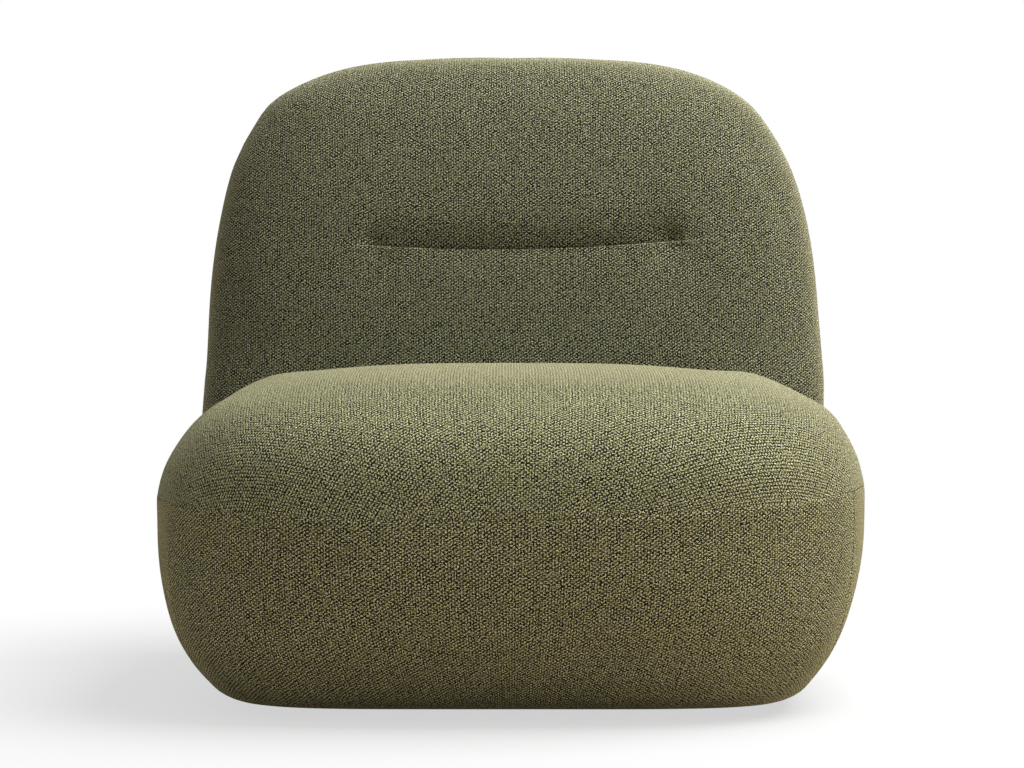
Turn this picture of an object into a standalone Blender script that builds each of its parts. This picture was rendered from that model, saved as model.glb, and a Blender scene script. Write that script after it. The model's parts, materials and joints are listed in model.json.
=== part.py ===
"""Armless swivel lounge chair: a rounded seat and back on a plywood frame that turns on a ball bearing.

Metres, +Z up. The front faces -Y. The origin is on the floor, on the swivel axis.
"""
import math

import bmesh
import bpy
import numpy as np

# Seat upholstery
SEAT_WIDTH = 0.820
SEAT_REACH = 0.410           # swivel axis to the front of the seat
SEAT_RUN = 0.310             # swivel axis to where the rounded plan would close, inside the back
SEAT_HEIGHT = 0.383
WAIST_HEIGHT = 0.205         # seam round the widest line
SEAT_DRAW_IN = 0.086         # how far the skirt comes in from the waist to the hem
SEAT_PLAN_POWER = 3.0        # roundness of the plan at the waist
HEM_PLAN_POWER = 4.5         # the plan is squarer at the hem
SEAT_CROWN_POWER = 3.2       # roundness of the top

# Back upholstery
BACK_WIDTH = 0.804
BACK_HEIGHT = 0.780
BACK_THICKNESS = 0.210
BACK_WIDEST_HEIGHT = 0.320
BACK_REACH = 0.109           # swivel axis to the front plane of the back, at the floor
BACK_LEAN = 0.158            # run of that plane for each unit of rise
BACK_DRAW_IN = 0.088         # how far the sides come in from the widest line to the hem
BACK_REAR_DRAW_IN = 0.012
BACK_SIDE_POWER = 4.0        # roundness of the outline seen from the front
BACK_TOP_POWER = 3.1
BACK_SECTION_POWER = 2.8     # roundness of a level cut

# Tuck across the front of the back
TUCK_HEIGHT = 0.533
TUCK_LENGTH = 0.420
TUCK_DEPTH = 0.030
TUCK_WIDTH = 0.018
TUCK_END_POWER = 4           # how suddenly the tuck ends
LISTING_RADIUS = 0.0025
LISTING_LENGTH = 0.380

# Covers and hem
COVER_THICKNESS = 0.003
HEM_HEIGHT = 0.012
HEM_ROUND = 0.025
DRAW_IN_POWER = 2.5
HEM_LAP = 0.011              # width of the turned-in cloth on the underside of the rails
CONTACT_GAP = 0.0010         # between the rear of the seat and the front of the back
CLEARANCE = 0.0004

# Frame
RAIL_SETBACK = 0.047         # padding outside the front and side rails, measured at the hem
REAR_SETBACK = 0.035         # padding behind the rear rail
RAIL_THICKNESS = 0.022
RAIL_EDGE = 0.0015           # broken edge of the rails
FOAM_THICKNESS = 0.155       # seat foam above the springs
BOARD_THICKNESS = 0.018
BLOCK_LEG = 0.070
BLOCK_DROP = 0.010           # top of a block below the top of the rails
POST_WIDTH = 0.060
POST_THICKNESS = 0.022
POST_HEADROOM = 0.085        # foam above the posts
BACK_RAIL_HEIGHT = 0.055
BACK_RAIL_THICKNESS = 0.020

# Zigzag springs
SPRING_COUNT = 4
SPRING_WIRE_RADIUS = 0.0019
SPRING_SWING = 0.024
SPRING_RISE = 0.012
SPRING_BENDS = 7
SPRING_FULLNESS = 0.55       # how far each bend swells past a plain wave
SPRING_SEAT = 0.009          # from a rail's outer face to the end of a spring

# Swivel base
GLIDE_COUNT = 6
GLIDE_RADIUS = 0.019
GLIDE_HEIGHT = 0.004
GLIDE_PEG_RADIUS = 0.004
GLIDE_PEG_LENGTH = 0.009
GLIDE_INSET = 0.030
GLIDE_EDGE = 0.001
DISC_THICKNESS = 0.018
DISC_EDGE = 0.003
RECESS_GAP = 0.016           # between the disc and the rails round it
DUST_COVER_THICKNESS = 0.001
DUST_MARGIN = 0.010          # from the rails to the edge of the dust cover
DUST_HOLE_PLAY = 0.004

# Ball bearing
BALL_COUNT = 10
BALL_RADIUS = 0.00475
BALL_PITCH_RADIUS = 0.090
GROOVE_PLAY = 0.00045
RACE_WALL = 0.0015           # metal under the groove
RACE_FLANGE = 0.0025
RACE_LIP = 0.009             # flat metal on each side of the groove
RACE_SPACING = 0.0028        # between the two halves
CAGE_THICKNESS = 0.0012
CAGE_WIDTH = 0.022
LOWER_SCREW_RADIUS = 0.052   # ring of the screws into the disc
UPPER_SCREW_RADIUS = 0.126   # ring of the screws into the board
RACE_EDGE = 0.016            # metal past the upper screws
SCREW_RADIUS = 0.003
SCREW_HEAD_RADIUS = 0.006
SCREW_HEAD_HEIGHT = 0.003
SCREW_LENGTH = 0.012
SCREW_CROWN = 0.0012
SCREW_POINT = 0.002
KING_RADIUS = 0.006
KING_HEAD_RADIUS = 0.011
KING_HEAD_HEIGHT = 0.007
KING_HOLE_PLAY = 0.004       # round the head, in the disc
KING_WELL_PLAY = 0.006       # round the washer, in the board
KING_END = 0.003             # thread past the nut
KING_TIP = 0.001
BUSH_WALL = 0.0025
WASHER_RADIUS = 0.016
WASHER_THICKNESS = 0.002
NUT_RADIUS = 0.0105
NUT_HEIGHT = 0.008

# Sampling of the soft shapes
AROUND = 36
DOME_LEVELS = 8
BACK_LEVELS = 10
SKIRT_LEVELS = 5
HEM_LEVELS = 2
ROUND_SEGMENTS = 40
SMALL_SEGMENTS = 18
SCREW_SEGMENTS = 10
GLIDE_SEGMENTS = 14
HOLE_SEGMENTS = 10
GROOVE_POINTS = 6
SPRING_STEPS = 5             # points on each bend of a spring
SHARP_ANGLE = math.radians(40)
MERGE_DISTANCE = 0.00002
CUT_PAST = 0.003             # how far a cutter runs past the face it enters
FAR_BELOW = -0.050           # where the tall cutters start

# Colours seen in the photograph, and plain ones for what is hidden
OLIVE = (0.128, 0.125, 0.066)
OLIVE_BROWN = (0.118, 0.104, 0.048)
FOAM_YELLOW = (0.72, 0.62, 0.36)
PLYWOOD = (0.52, 0.37, 0.22)
BEECH = (0.60, 0.43, 0.27)
BLACK_CLOTH = (0.012, 0.012, 0.012)
BLACK_PAINT = (0.015, 0.015, 0.016)
ZINC = (0.55, 0.56, 0.58)
DARK_STEEL = (0.20, 0.20, 0.21)
BRIGHT_STEEL = (0.70, 0.71, 0.73)
NYLON = (0.80, 0.79, 0.74)
RUBBER = (0.02, 0.02, 0.02)

# Worked out from the sizes above
HALF_WIDTH = SEAT_WIDTH / 2
HALF_DEPTH = (SEAT_REACH + SEAT_RUN) / 2
SEAT_CENTRE = (SEAT_RUN - SEAT_REACH) / 2
HALF_BACK = BACK_WIDTH / 2
HALF_THICK = BACK_THICKNESS / 2
UNDER_COVER = COVER_THICKNESS + CLEARANCE

DISC_BOTTOM = GLIDE_HEIGHT + CLEARANCE
DISC_TOP = DISC_BOTTOM + DISC_THICKNESS
GROOVE_RADIUS = (BALL_RADIUS + GROOVE_PLAY) / math.cos(math.pi / 2 / (GROOVE_POINTS - 1))
LOWER_BOTTOM = DISC_TOP + CLEARANCE
BALL_HEIGHT = LOWER_BOTTOM + RACE_WALL + GROOVE_RADIUS
UPPER_TOP = BALL_HEIGHT + GROOVE_RADIUS + RACE_WALL
BOARD_BOTTOM = UPPER_TOP + CLEARANCE
BOARD_TOP = BOARD_BOTTOM + BOARD_THICKNESS
RACE_OUTSIDE = UPPER_SCREW_RADIUS + RACE_EDGE

RAIL_BOTTOM = HEM_HEIGHT + COVER_THICKNESS + 2 * CLEARANCE
FOAM_UNDERSIDE = SEAT_HEIGHT - FOAM_THICKNESS
RAIL_TOP = FOAM_UNDERSIDE - SPRING_RISE - 2 * SPRING_WIRE_RADIUS - 2 * CLEARANCE
HEM_RETURN = RAIL_SETBACK + HEM_LAP


def remove_startup_objects():
    """Empty the scene."""
    for item in list(bpy.data.objects):
        bpy.data.objects.remove(item, do_unlink=True)


def make_material(name, colour, roughness, metallic=0.0):
    """A plain Principled material."""
    material = bpy.data.materials.new(name)
    material.use_nodes = True
    shader = material.node_tree.nodes["Principled BSDF"]
    shader.inputs["Base Color"].default_value = (*colour, 1.0)
    shader.inputs["Roughness"].default_value = roughness
    shader.inputs["Metallic"].default_value = metallic
    return material


def add_object(name, mesh_builder, material, parent=None):
    """Turn a bmesh into a named object, with its normals outwards."""
    bmesh.ops.remove_doubles(mesh_builder, verts=mesh_builder.verts, dist=MERGE_DISTANCE)
    bmesh.ops.dissolve_degenerate(mesh_builder, edges=mesh_builder.edges, dist=MERGE_DISTANCE)
    bmesh.ops.recalc_face_normals(mesh_builder, faces=mesh_builder.faces)
    mesh = bpy.data.meshes.new(name)
    mesh_builder.to_mesh(mesh)
    mesh_builder.free()
    mesh.shade_smooth()
    mesh.set_sharp_from_angle(angle=SHARP_ANGLE)
    item = bpy.data.objects.new(name, mesh)
    bpy.context.scene.collection.objects.link(item)
    if material is not None:
        mesh.materials.append(material)
    if parent is not None:
        item.parent = parent
    return item


def add_cutter(name, mesh_builder):
    """An object that only cuts others."""
    item = add_object(name, mesh_builder, None)
    item.hide_render = True
    item.display_type = "WIRE"
    return item


def cut(item, cutter):
    """Take the cutter's volume out of the item."""
    modifier = item.modifiers.new("cut_" + cutter.name, "BOOLEAN")
    modifier.operation = "DIFFERENCE"
    modifier.solver = "EXACT"
    modifier.object = cutter
    return item


def box(low, high):
    """A box between two corners."""
    builder = bmesh.new()
    bmesh.ops.create_cube(builder, size=1.0)
    low = np.array(low)
    high = np.array(high)
    for vertex in builder.verts:
        share = np.array(vertex.co) + 0.5
        vertex.co = low + share * (high - low)
    return builder


def turned(profile, segments, closed):
    """Spin a list of (radius, height) points round the Z axis."""
    builder = bmesh.new()
    points = [builder.verts.new((radius, 0.0, height)) for radius, height in profile]
    edges = [builder.edges.new((points[i], points[i + 1])) for i in range(len(points) - 1)]
    if closed:
        edges.append(builder.edges.new((points[-1], points[0])))
    bmesh.ops.spin(builder, geom=points + edges, cent=(0, 0, 0), axis=(0, 0, 1),
                   angle=2 * math.pi, steps=segments, use_merge=True)
    bmesh.ops.remove_doubles(builder, verts=builder.verts, dist=MERGE_DISTANCE)
    return builder


def shift(builder, offset):
    """Move a bmesh."""
    bmesh.ops.translate(builder, verts=builder.verts, vec=offset)
    return builder


def rod(radius, low, high, place, segments=HOLE_SEGMENTS):
    """An upright cylinder whose flats lie at the radius."""
    radius = radius / math.cos(math.pi / segments)
    profile = [(0.0, low), (radius, low), (radius, high), (0.0, high)]
    return shift(turned(profile, segments, False), (place[0], place[1], 0.0))


def skin(outer, closed):
    """Triangles over a grid of points (levels, around, 3), split the same way on every grid."""
    levels, around = outer.shape[:2]
    faces = []
    last = around if closed else around - 1
    for level in range(levels - 1):
        for column in range(last):
            following = (column + 1) % around
            near = (level * around + column, level * around + following)
            far = ((level + 1) * around + column, (level + 1) * around + following)
            faces.append((near[0], near[1], far[1]))
            faces.append((near[0], far[1], far[0]))
    return outer.reshape(-1, 3), faces


def shell(outer, inner, closed):
    """A thin closed body between two grids of the same shape."""
    levels, around = outer.shape[:2]
    outer_points, faces = skin(outer, closed)
    inner_points = inner.reshape(-1, 3)
    count = len(outer_points)
    faces = faces + [tuple(index + count for index in reversed(face)) for face in faces]
    border = []
    for row in (0, levels - 1):
        for column in range(around if closed else around - 1):
            border.append((row * around + column, row * around + (column + 1) % around))
    if not closed:
        for column in (0, around - 1):
            for level in range(levels - 1):
                border.append((level * around + column, (level + 1) * around + column))
    faces += [(first, second, second + count, first + count) for first, second in border]
    return fill_builder(np.vstack([outer_points, inner_points]), faces)


def solid(grid):
    """A closed body: a grid that closes at its first and last levels."""
    points, faces = skin(grid, True)
    levels, around = grid.shape[:2]
    faces = faces + [tuple(range(around)), tuple((levels - 1) * around + i for i in range(around))]
    return fill_builder(points, faces)


def fill_builder(points, faces):
    """A bmesh from points and faces, with the points of a closed tip merged."""
    builder = bmesh.new()
    vertices = [builder.verts.new(point) for point in points]
    for face in faces:
        spots = {tuple(np.round(points[index], 6)) for index in face}
        if len(spots) > 2:
            builder.faces.new([vertices[index] for index in face])
    bmesh.ops.remove_doubles(builder, verts=builder.verts, dist=MERGE_DISTANCE)
    loose = [vertex for vertex in builder.verts if not vertex.link_faces]
    bmesh.ops.delete(builder, geom=loose, context="VERTS")
    return builder


def superellipse(angle, half_x, half_y, power):
    """A point of a rounded rectangle for each angle."""
    across = np.cos(angle)
    along = np.sin(angle)
    return (half_x * np.sign(across) * np.abs(across) ** (2 / power),
            half_y * np.sign(along) * np.abs(along) ** (2 / power))


def hem_profile(top, draw_in, levels):
    """Pairs (how far in, height) from a widest line down to the hem, with a tangent round at the hem."""
    drop = top - HEM_HEIGHT
    steepest = math.atan(draw_in * DRAW_IN_POWER / drop)
    start = HEM_HEIGHT + HEM_ROUND * (1 - math.sin(steepest))
    reach = (top - start) / drop
    slope = math.atan(draw_in * DRAW_IN_POWER * reach ** (DRAW_IN_POWER - 1) / drop)
    radius = (start - HEM_HEIGHT) / (1 - math.sin(slope))
    steps = np.linspace(0.0, reach, levels)
    pairs = [(draw_in * step ** DRAW_IN_POWER, top - step * drop) for step in steps]
    side = pairs[-1][0]
    for turn in np.linspace(slope, math.pi / 2, HEM_LEVELS + 1)[1:]:
        pairs.append((side + radius * (math.cos(slope) - math.cos(turn)),
                      start - radius * (math.sin(turn) - math.sin(slope))))
    return pairs


def back_plane(height):
    """The leaning plane that the front of the back touches."""
    return BACK_REACH + BACK_LEAN * height


def back_size(height):
    """Half width, half thickness and centre of the back at a height, without the hem round."""
    height = np.asarray(height, dtype=float)
    low = np.clip((BACK_WIDEST_HEIGHT - height) / (BACK_WIDEST_HEIGHT - HEM_HEIGHT), 0.0, 1.0)
    high = np.clip((height - BACK_WIDEST_HEIGHT) / (BACK_HEIGHT - BACK_WIDEST_HEIGHT), 0.0, 1.0)
    close = (1 - high ** BACK_TOP_POWER) ** (1 / BACK_SIDE_POWER)
    half_wide = (HALF_BACK - BACK_DRAW_IN * low ** DRAW_IN_POWER) * close
    lower_thick = HALF_THICK - BACK_REAR_DRAW_IN * low ** 2
    centre = back_plane(height) + np.where(high > 0, HALF_THICK, lower_thick)
    return half_wide, lower_thick * close, centre


def seat_dome(inset, lift):
    """The seat from the waist to the crown."""
    angle = 2 * math.pi * np.arange(AROUND) / AROUND
    across, along = superellipse(angle, HALF_WIDTH - inset, HALF_DEPTH - inset, SEAT_PLAN_POWER)
    rise = SEAT_HEIGHT - WAIST_HEIGHT - inset - lift
    rows = []
    for turn in np.linspace(0.0, math.pi / 2, DOME_LEVELS):
        share = max(math.cos(turn), 0.0) ** (2 / SEAT_CROWN_POWER) if turn < math.pi / 2 - 0.001 else 0.0
        height = WAIST_HEIGHT + lift + rise * math.sin(turn) ** (2 / SEAT_CROWN_POWER)
        rows.append(np.stack([across * share, SEAT_CENTRE + along * share,
                              np.full(AROUND, height)], axis=1))
    return np.array(rows)


def seat_skirt(inset, drop):
    """The seat from the waist down to the hem and in under the frame."""
    angle = 2 * math.pi * np.arange(AROUND) / AROUND
    pairs = hem_profile(WAIST_HEIGHT, SEAT_DRAW_IN, SKIRT_LEVELS)
    pairs.append((pairs[-1][0] + HEM_RETURN - inset, HEM_HEIGHT))
    rows = []
    for draw, height in pairs:
        share = min(draw / SEAT_DRAW_IN, 1.0)
        power = SEAT_PLAN_POWER + (HEM_PLAN_POWER - SEAT_PLAN_POWER) * share
        across, along = superellipse(angle, HALF_WIDTH - draw - inset, HALF_DEPTH - draw - inset, power)
        level = max(min(height, WAIST_HEIGHT - drop), HEM_HEIGHT + inset)
        rows.append(np.stack([across, SEAT_CENTRE + along, np.full(AROUND, level)], axis=1))
    return np.array(rows)


def tuck_groove(across, height):
    """How far the front of the back is drawn in by the tuck."""
    reach = np.clip(1 - np.abs(across / (TUCK_LENGTH / 2)) ** TUCK_END_POWER, 0.0, 1.0)
    return TUCK_DEPTH * reach * np.exp(-np.abs((height - TUCK_HEIGHT) / TUCK_WIDTH))


def back_heights():
    """Heights of the levels of the back above its widest line, closer together at the tuck."""
    turns = np.linspace(0.0, math.pi / 2, BACK_LEVELS)
    rise = BACK_HEIGHT - BACK_WIDEST_HEIGHT
    heights = BACK_WIDEST_HEIGHT + rise * np.sin(turns) ** (2 / BACK_TOP_POWER)
    near = TUCK_HEIGHT + TUCK_WIDTH * np.array([-2.2, -1.0, -0.4, 0.0, 0.4, 1.0, 2.2])
    apart = np.abs(heights - TUCK_HEIGHT) > 3.2 * TUCK_WIDTH
    return np.sort(np.concatenate([heights[apart], near]))


def back_grid(inset, first, last, rounded=True):
    """The back from hem to top, from one angle to another, with or without the hem round."""
    count = int(round(AROUND * (last - first) / (2 * math.pi)))
    angle = np.linspace(first, last, count + 1)
    rows = []
    low_pairs = hem_profile(BACK_WIDEST_HEIGHT, BACK_DRAW_IN, SKIRT_LEVELS)
    ends = [(low_pairs[-1][0] + HEM_RETURN - inset, low_pairs[-1][1])] + low_pairs[:0:-1]
    for draw, height in ends:
        half_wide, half_thick, centre = back_size(height)
        extra = max(draw - (HALF_BACK - half_wide), 0.0) if rounded else 0.0
        rows.append(back_row(angle, half_wide - extra - inset, half_thick - extra - inset, centre,
                             max(height, HEM_HEIGHT + inset)))
    if not rounded:
        rows[0][:, 2] = FAR_BELOW
    for height in back_heights():
        share = (height - BACK_WIDEST_HEIGHT) / (BACK_HEIGHT - BACK_WIDEST_HEIGHT)
        half_wide, half_thick, centre = back_size(height)
        level = BACK_WIDEST_HEIGHT + share * (BACK_HEIGHT - BACK_WIDEST_HEIGHT - inset)
        shrink = 1 - inset / HALF_BACK
        thin = 1 - inset / HALF_THICK
        row = back_row(angle, half_wide * shrink, half_thick * thin, centre, level)
        front = np.sin(angle) < -0.01
        row[:, 1] += np.where(front, tuck_groove(row[:, 0], height), 0.0)
        rows.append(row)
    return np.array(rows)


def back_row(angle, half_wide, half_thick, centre, height):
    """One level of the back."""
    across, along = superellipse(angle, max(half_wide, 0.0), max(half_thick, 0.0), BACK_SECTION_POWER)
    return np.stack([across, centre + along, np.full(len(angle), height)], axis=1)


def frame_sizes():
    """The rectangle of the seat frame: half width, front and rear."""
    seat_in = hem_profile(WAIST_HEIGHT, SEAT_DRAW_IN, SKIRT_LEVELS)[-1][0]
    back_in = hem_profile(BACK_WIDEST_HEIGHT, BACK_DRAW_IN, SKIRT_LEVELS)[-1][0]
    half_wide = min(HALF_WIDTH - seat_in, HALF_BACK - back_in) - RAIL_SETBACK
    front = -SEAT_REACH + seat_in + RAIL_SETBACK
    rear_thick = back_size(HEM_HEIGHT)[1]
    rear_centre = back_size(HEM_HEIGHT)[2]
    rear = float(rear_centre + rear_thick) - REAR_SETBACK
    return half_wide, front, rear


FRAME_HALF, FRAME_FRONT, FRAME_REAR = frame_sizes()
INNER_HALF = FRAME_HALF - RAIL_THICKNESS
INNER_FRONT = FRAME_FRONT + RAIL_THICKNESS
INNER_REAR = FRAME_REAR - RAIL_THICKNESS
DISC_RADIUS = min(INNER_HALF, -INNER_FRONT, INNER_REAR) - RECESS_GAP
POST_OUTSIDE = INNER_HALF - CLEARANCE
POST_INSIDE = POST_OUTSIDE - POST_THICKNESS
POST_FOOT = INNER_REAR - CLEARANCE - POST_WIDTH / 2
POST_TOP = BACK_HEIGHT - POST_HEADROOM


def post_line():
    """Centre line of a back post in the YZ plane: upright in the seat box, then leaning with the back."""
    knee = RAIL_TOP + SPRING_RISE
    top = float(back_plane(POST_TOP)) + HALF_THICK
    return [(POST_FOOT, BOARD_TOP + CLEARANCE), (POST_FOOT, knee), (top, POST_TOP)]


def post_at(height):
    """Y of the post's centre line at a height."""
    line = post_line()
    return float(np.interp(height, [line[0][1], line[1][1], line[2][1]],
                           [line[0][0], line[1][0], line[2][0]]))


def post(side, grow):
    """A back post cut from plywood, grown on all sides when it is used as a cutter."""
    builder = bmesh.new()
    half = POST_WIDTH / 2 + grow
    line = post_line()
    ends = [line[0][1] - grow, line[1][1], line[2][1] + grow]
    left = side * POST_INSIDE - side * grow
    right = side * POST_OUTSIDE + side * grow
    loops = []
    for (depth, _), height in zip(line, ends):
        corners = [(left, depth - half), (right, depth - half), (right, depth + half), (left, depth + half)]
        loops.append([builder.verts.new((x, y, height)) for x, y in corners])
    builder.faces.new(loops[0])
    builder.faces.new(loops[-1])
    for low, high in zip(loops[:-1], loops[1:]):
        for i in range(4):
            builder.faces.new((low[i], low[(i + 1) % 4], high[(i + 1) % 4], high[i]))
    return builder


def back_rail(height, grow):
    """A rail between the posts, grown when it is used as a cutter."""
    depth = post_at(height)
    half_long = POST_INSIDE - CLEARANCE + (4 * grow if grow else 0.0)
    half_thick = BACK_RAIL_THICKNESS / 2 + grow
    half_high = BACK_RAIL_HEIGHT / 2 + grow
    return box((-half_long, depth - half_thick, height - half_high),
               (half_long, depth + half_thick, height + half_high))


def wire(name, points, radius, material, parent, roundness):
    """A round wire through points."""
    curve = bpy.data.curves.new(name, "CURVE")
    curve.dimensions = "3D"
    curve.bevel_depth = radius
    curve.bevel_resolution = roundness
    curve.use_fill_caps = True
    spline = curve.splines.new("POLY")
    spline.points.add(len(points) - 1)
    for spot, point in zip(spline.points, points):
        spot.co = (*point, 1.0)
    item = bpy.data.objects.new(name, curve)
    bpy.context.scene.collection.objects.link(item)
    if material is not None:
        curve.materials.append(material)
    if parent is not None:
        item.parent = parent
    return item


def ring_places(count, radius, first=0.0):
    """Points spaced evenly round the swivel axis."""
    turns = [first + 2 * math.pi * i / count for i in range(count)]
    return [(radius * math.cos(turn), radius * math.sin(turn)) for turn in turns]


def add_pivot(name):
    """An empty on the swivel axis that carries a body."""
    pivot = bpy.data.objects.new(name, None)
    bpy.context.scene.collection.objects.link(pivot)
    return pivot


def chamfer(item, width):
    """Break the edges of a board."""
    modifier = item.modifiers.new("edges", "BEVEL")
    modifier.width = width
    modifier.segments = 1
    modifier.limit_method = "ANGLE"
    return item


def build_base(base):
    """The foot on the floor and the standing half of the bearing."""
    black = make_material("black_paint", BLACK_PAINT, 0.55)
    rubber = make_material("rubber", RUBBER, 0.8)
    zinc = make_material("zinc_steel", ZINC, 0.4, 1.0)
    steel = make_material("dark_steel", DARK_STEEL, 0.45, 1.0)

    hole = KING_HEAD_RADIUS + KING_HOLE_PLAY
    profile = [(hole, DISC_BOTTOM), (DISC_RADIUS - DISC_EDGE, DISC_BOTTOM),
               (DISC_RADIUS, DISC_BOTTOM + DISC_EDGE), (DISC_RADIUS, DISC_TOP - DISC_EDGE),
               (DISC_RADIUS - DISC_EDGE, DISC_TOP), (hole, DISC_TOP)]
    disc = add_object("base_disc", turned(profile, ROUND_SEGMENTS, True), black, base)

    pegs = bmesh.new()
    for number, place in enumerate(ring_places(GLIDE_COUNT, DISC_RADIUS - GLIDE_INSET, math.pi / 6), 1):
        peg_top = GLIDE_HEIGHT + GLIDE_PEG_LENGTH
        profile = [(0.0, 0.0), (GLIDE_RADIUS - GLIDE_EDGE, 0.0), (GLIDE_RADIUS, GLIDE_EDGE),
                   (GLIDE_RADIUS, GLIDE_HEIGHT), (GLIDE_PEG_RADIUS, GLIDE_HEIGHT),
                   (GLIDE_PEG_RADIUS, peg_top), (0.0, peg_top)]
        glide = shift(turned(profile, GLIDE_SEGMENTS, False), (*place, 0.0))
        add_object(f"floor_glide_{number}", glide, rubber, base)
        copy_into(pegs, rod(GLIDE_PEG_RADIUS + CLEARANCE, DISC_BOTTOM - CUT_PAST,
                            peg_top + CLEARANCE, place))
    cut(disc, add_cutter("peg_holes", pegs))

    inside = KING_RADIUS + CLEARANCE
    groove = groove_points(-1)
    lip_in = BALL_PITCH_RADIUS - GROOVE_RADIUS - RACE_LIP
    lip_out = BALL_PITCH_RADIUS + GROOVE_RADIUS + RACE_LIP
    flange = LOWER_BOTTOM + RACE_FLANGE
    lip = BALL_HEIGHT - RACE_SPACING / 2
    profile = [(inside, LOWER_BOTTOM), (lip_out, LOWER_BOTTOM), (lip_out, lip)] + groove[::-1]
    profile += [(lip_in, lip), (lip_in, flange), (inside, flange)]
    race = add_object("lower_race", turned(profile, ROUND_SEGMENTS, True), zinc, base)

    holes = bmesh.new()
    for number, place in enumerate(ring_places(4, LOWER_SCREW_RADIUS, math.pi / 4), 1):
        add_screw(f"race_screw_{number}", place, flange + CLEARANCE, -1, steel, base)
        copy_into(holes, rod(SCREW_RADIUS + CLEARANCE, flange - SCREW_LENGTH - CLEARANCE,
                             flange + CUT_PAST, place))
    cutter = add_cutter("race_screw_holes", holes)
    cut(race, cutter)
    cut(disc, cutter)

    head_top = LOWER_BOTTOM - CLEARANCE
    head_bottom = head_top - KING_HEAD_HEIGHT
    nut_bottom = UPPER_TOP + WASHER_THICKNESS + 2 * CLEARANCE
    end = nut_bottom + NUT_HEIGHT + KING_END
    profile = [(0.0, head_bottom), (KING_HEAD_RADIUS, head_bottom), (KING_HEAD_RADIUS, head_top),
               (KING_RADIUS, head_top), (KING_RADIUS, end - KING_TIP), (KING_RADIUS - KING_TIP, end),
               (0.0, end)]
    add_object("king_bolt", turned(profile, SMALL_SEGMENTS, False), steel, base)
    inner = KING_RADIUS + CLEARANCE
    profile = [(inner, nut_bottom), (NUT_RADIUS, nut_bottom), (NUT_RADIUS, nut_bottom + NUT_HEIGHT),
               (inner, nut_bottom + NUT_HEIGHT)]
    add_object("king_nut", turned(profile, SMALL_SEGMENTS, True), zinc, base)
    low = nut_bottom - CLEARANCE - WASHER_THICKNESS
    profile = [(inner, low), (WASHER_RADIUS, low), (WASHER_RADIUS, low + WASHER_THICKNESS),
               (inner, low + WASHER_THICKNESS)]
    add_object("king_washer", turned(profile, SMALL_SEGMENTS, True), zinc, base)


def groove_points(side):
    """The round groove of a race, from inner lip to outer lip. Side is -1 below the balls, +1 above."""
    dip = math.asin(RACE_SPACING / 2 / GROOVE_RADIUS)
    return [(BALL_PITCH_RADIUS + GROOVE_RADIUS * math.cos(turn),
             BALL_HEIGHT + side * GROOVE_RADIUS * math.sin(turn))
            for turn in np.linspace(math.pi - dip, dip, GROOVE_POINTS)]


def copy_into(target, source):
    """Add one bmesh to another."""
    mesh = bpy.data.meshes.new("part_of_cutter")
    source.to_mesh(mesh)
    source.free()
    target.from_mesh(mesh)
    bpy.data.meshes.remove(mesh)


def add_screw(name, place, seat, way, material, parent):
    """A pan-head screw. Its head sits on the height called seat and its shank runs up (+1) or down (-1)."""
    head = seat - way * SCREW_HEAD_HEIGHT
    tip = seat + way * SCREW_LENGTH
    profile = [(0.0, head), (SCREW_HEAD_RADIUS - SCREW_CROWN, head),
               (SCREW_HEAD_RADIUS, head + way * SCREW_CROWN), (SCREW_HEAD_RADIUS, seat),
               (SCREW_RADIUS, seat), (SCREW_RADIUS, tip - way * SCREW_POINT), (0.0, tip)]
    return add_object(name, shift(turned(profile, SCREW_SEGMENTS, False), (*place, 0.0)), material, parent)


def build_ball_ring(ring):
    """The balls and the cage that spaces them."""
    steel = make_material("ball_steel", BRIGHT_STEEL, 0.2, 1.0)
    nylon = make_material("nylon", NYLON, 0.5)
    low = BALL_HEIGHT - CAGE_THICKNESS / 2
    high = BALL_HEIGHT + CAGE_THICKNESS / 2
    inside = BALL_PITCH_RADIUS - CAGE_WIDTH / 2
    outside = BALL_PITCH_RADIUS + CAGE_WIDTH / 2
    cage = add_object("ball_cage", turned([(inside, low), (outside, low), (outside, high), (inside, high)],
                                          ROUND_SEGMENTS, True), nylon, ring)
    pockets = bmesh.new()
    for number, place in enumerate(ring_places(BALL_COUNT, BALL_PITCH_RADIUS), 1):
        ball = bmesh.new()
        bmesh.ops.create_icosphere(ball, subdivisions=2, radius=BALL_RADIUS)
        add_object(f"bearing_ball_{number}", shift(ball, (*place, BALL_HEIGHT)), steel, ring)
        copy_into(pockets, rod(BALL_RADIUS + CLEARANCE, low - CUT_PAST, high + CUT_PAST, place))
    cut(cage, add_cutter("ball_pockets", pockets))


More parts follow.
